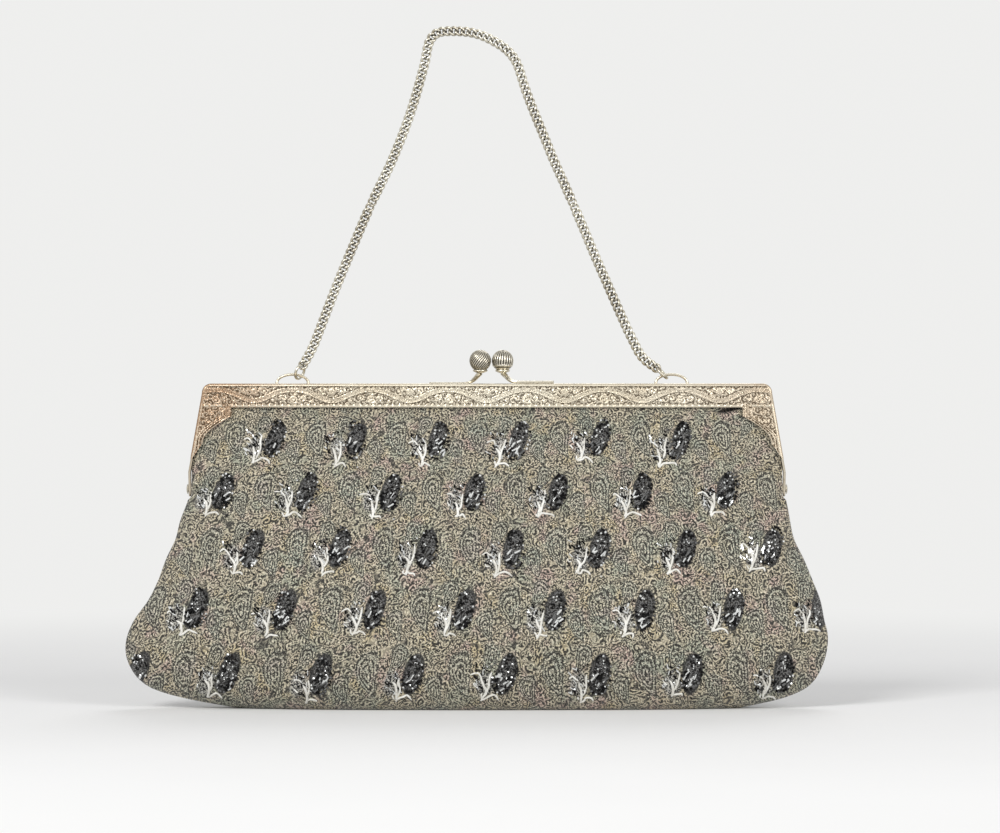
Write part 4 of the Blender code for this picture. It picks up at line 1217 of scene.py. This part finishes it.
def kidney(angle):
    """Outline of a sprig's body: two lobes, the upper one smaller and to the right."""
    z = 6.6 * sin(angle)
    waist = 1 - 0.22 * exp(-((z - 0.6) / 1.8) ** 2)
    width = mix(3.85, 2.85, float(smooth((z + 3) / 7))) * waist
    spine = -0.4 + 1.3 * float(smooth((z + 4) / 6)) - 1.1 * float(smooth((z - 2.5) / 4))
    return spine + width * cos(angle), z


def add_seed(soup, centre, out, along, radius, tint):
    """A squashed round bead."""
    side = out.cross(along).normalized()
    rings = []
    for step in (-0.98, -0.72, 0.0, 0.72, 0.98):
        reach = radius * sqrt(1 - step * step)
        rings.append([centre + along * radius * 0.78 * step + side * reach * x + out * reach * z
                      for x, z in spokes(8)])
    soup.loft(rings, tint=tint)


def add_bugle(soup, centre, out, along, length, radius, tint):
    """A short cut tube."""
    side = out.cross(along).normalized()
    soup.loft([[centre + along * length / 2 * place + (side * x + out * z) * radius * reach
                for x, z in spokes(6)] for place, reach in ((-1, 0.7), (-0.88, 1), (0.88, 1), (1, 0.7))],
              tint=tint)


def turned(x, z, angle):
    return x * cos(angle) + z * sin(angle), z * cos(angle) - x * sin(angle)


def make_sprigs(label, side):
    """Every beaded sprig of one side: a dark body of seeds and bugles, with pale stems to its left."""
    chance = random.Random(11 if side < 0 else 12)
    beads, stems = Soup(), Soup()
    pick = chance.uniform

    def stray(reach):
        return pick(-reach, reach)

    def dark_tint(bright):
        draw = chance.random()
        return 1.0 if draw < bright else 0.6 if draw < bright + 0.34 else 0.0

    def place(x, z, lift):
        """A place on the cloth, or None where the sprig would run over an edge."""
        x, z = turned(x, z, lean)
        x, z = -side * (x * grow + heart_x), z * grow + heart_z
        centre, half = cloth_limits(z, side)
        if z < 1.5 or z > 105.4 or abs(x - centre) > half * 0.985:
            return None
        if z > 88 and abs(x) > float(face_half(z)) - 1.2:
            return None
        return on_cloth(x, z, side, lift)

    def seed(x, z, radius, tint):
        spot = place(x, z, radius * 0.55)
        if spot:
            turn = pick(0, pi)
            add_seed(beads, spot[0], spot[3], spot[1] * cos(turn) + spot[2] * sin(turn), radius, tint)

    def dash(x, z, slant, length, radius, tint, lift):
        spot = place(x, z, lift)
        if spot:
            slant = radians(slant)
            way = spot[1] * cos(slant) * -side + spot[2] * sin(slant)
            add_bugle(beads, spot[0], spot[3], way, length, radius, tint)

    def stem(path, radius):
        short = pick(0.5 if len(path) == 5 else 0.75, 1.0)
        foot_x, foot_z = path[0]
        corners = [Vector((foot_x + (x - foot_x) * short + stray(0.45), 0,
                           foot_z + (z - foot_z) * short + stray(0.45))) for x, z in path]
        spots = [place(point.x, point.z, radius * 0.4) for point in curve_through(corners, 6)]
        if all(spots):
            taper = [radius * min(1.0, 0.45 + i * 0.15, 0.45 + (len(spots) - 1 - i) * 0.15)
                     for i in range(len(spots))]
            stems.tube([spot[0] for spot in spots], taper, 7, up=spots[0][3])

    for row, (first, last) in enumerate(SPRIG_SPANS):
        down = ROW_TOP + ROW_STEP * row + ROW_GROWTH * row * row
        middle = COLUMN_MIDDLE - COLUMN_LEAN * (down - COLUMN_LEVEL)
        spacing = COLUMN_STEP + COLUMN_GROWTH * (down - COLUMN_LEVEL)
        for step in range(int(last - first) + 1):
            heart_x = (middle + (first + step) * spacing + stray(2) - PX_MIDDLE) * PX
            heart_z = (PX_BASE - down + stray(2)) * PX
            lean = radians(stray(6))
            grow = pick(0.93, 1.05)
            tilt = radians(pick(1, 16))
            for k in range(27):
                x, z = turned(*kidney(tau * (k + stray(0.2)) / 27), tilt)
                seed(x + stray(0.15), z + stray(0.15), pick(0.46, 0.62), dark_tint(0.13))
            for k in range(14):
                x, z = kidney(tau * (k + stray(0.3)) / 14)
                seed(*turned(0.1 + (x - 0.1) * 0.66, z * 0.8, tilt), pick(0.42, 0.55), dark_tint(0.20))
            for _ in range(12):
                seed(*turned(pick(-0.9, 1.7), pick(0.6, 4.6), tilt), pick(0.34, 0.46), dark_tint(0.22))
            for _ in range(9):
                seed(*turned(pick(-2.6, 2.2), pick(-5.0, 0.2), tilt), pick(0.36, 0.50), dark_tint(0.30))
            for _ in range(15):
                x, z = pick(-2.9, 2.4), pick(-5.4, 0.2)
                if (x / 3.4) ** 2 + ((z + 2.8) / 3.6) ** 2 <= 0.95:
                    dash(*turned(x, z, tilt), 50 + stray(26), pick(1.2, 2.5), pick(0.36, 0.50),
                         dark_tint(0.34), 0.62)
            for _ in range(18):
                x, z = pick(-10.4, -4.8), pick(-6.6, 2.2)
                dash(x, z, 90 + pick(-20, 75), pick(0.9, 1.9), pick(0.22, 0.34),
                     float(chance.random() < 0.5), 0.2)
            for x, z in SMALL_SEEDS:
                seed(x + stray(0.4), z + stray(0.4), 0.42, dark_tint(0.1))
            for path, radius in STEMS:
                if radius >= 0.35 or chance.random() >= 0.3:
                    stem(path, radius)
    for soup, kind, material in ((beads, "beads", glass), (stems, "stems", thread)):
        piece = soup.build(label + "_" + kind, material, 35)
        cross_hinge(piece)


make_sprigs("front", -1)
make_sprigs("back", 1)


# Stage, lamps and camera

PALE = (0.86, 0.86, 0.85)
STAGE_RADIUS = 3500


def make_stage():
    """A pale floor that fades into the background's own colour."""
    rings, around = 24, 64
    radii = [STAGE_RADIUS * (i / rings) ** 1.5 + 1 for i in range(rings + 1)]
    points = [(radius * x, radius * y, 0) for radius in radii for x, y in spokes(around)]
    faces = quads(rings + 1, around) + [tuple(range(around))]
    paint = Paint("pale_stage", Roughness=0.9, Specular_IOR_Level=0.1)
    place = paint.place()
    paint.set(Base_Color=paint.mix(paint.noise(place, 8.0, 3.0), (0.84, 0.84, 0.83), (0.87, 0.87, 0.86)))
    share = paint.vector("LENGTH", place, out=1).step(0.22, 0.75) * paint.seen()
    glow = paint.put("ShaderNodeEmission", {"Color": (*PALE, 1), "Strength": 1.0})
    blend = paint.put("ShaderNodeMixShader", {0: share, 1: paint.shader.outputs[0], 2: glow})
    paint.feed(paint.tree.nodes["Material Output"].inputs["Surface"], blend)
    finish_mesh("stage", points, faces, paint.block)


def make_world():
    """Grey light all round, and the pale colour wherever it is seen."""
    paint = Paint("soft_room", bpy.data.worlds.new("soft_room"), "Background")
    bpy.context.scene.world = paint.set(Color=paint.mix(paint.seen(), (0.40, 0.40, 0.41), PALE))


def add_lamp(name, place, power, size, target=(0, 0, 0.09)):
    lamp = bpy.data.lights.new(name, "AREA")
    lamp.energy = power
    lamp.size = size
    thing = bpy.data.objects.new(name, lamp)
    bpy.context.scene.collection.objects.link(thing)
    thing.location = place
    thing.rotation_euler = (Vector(target) - Vector(place)).to_track_quat("-Z", "Y").to_euler()


def make_camera():
    data = bpy.data.cameras.new("camera")
    camera = bpy.data.objects.new("camera", data)
    bpy.context.scene.collection.objects.link(camera)
    distance = 1.4
    data.sensor_width = 36
    data.lens = 36 * distance / (1000 * PX * MM)
    data.clip_start = 0.05
    data.clip_end = 20
    camera.location = ((500 - PX_MIDDLE) * PX * MM, -distance - 0.005, (PX_BASE - 416.5) * PX * MM)
    camera.rotation_euler = (pi / 2, 0, 0)
    bpy.context.scene.camera = camera


make_stage()
make_world()
add_lamp("key", (-0.7, -1.2, 0.9), 15, 0.6)
add_lamp("fill", (0.9, -1.1, 0.6), 9, 0.7)
add_lamp("rim", (0.2, 0.9, 1.1), 4, 0.7)
make_camera()
bpy.context.scene.view_settings.view_transform = "Standard"
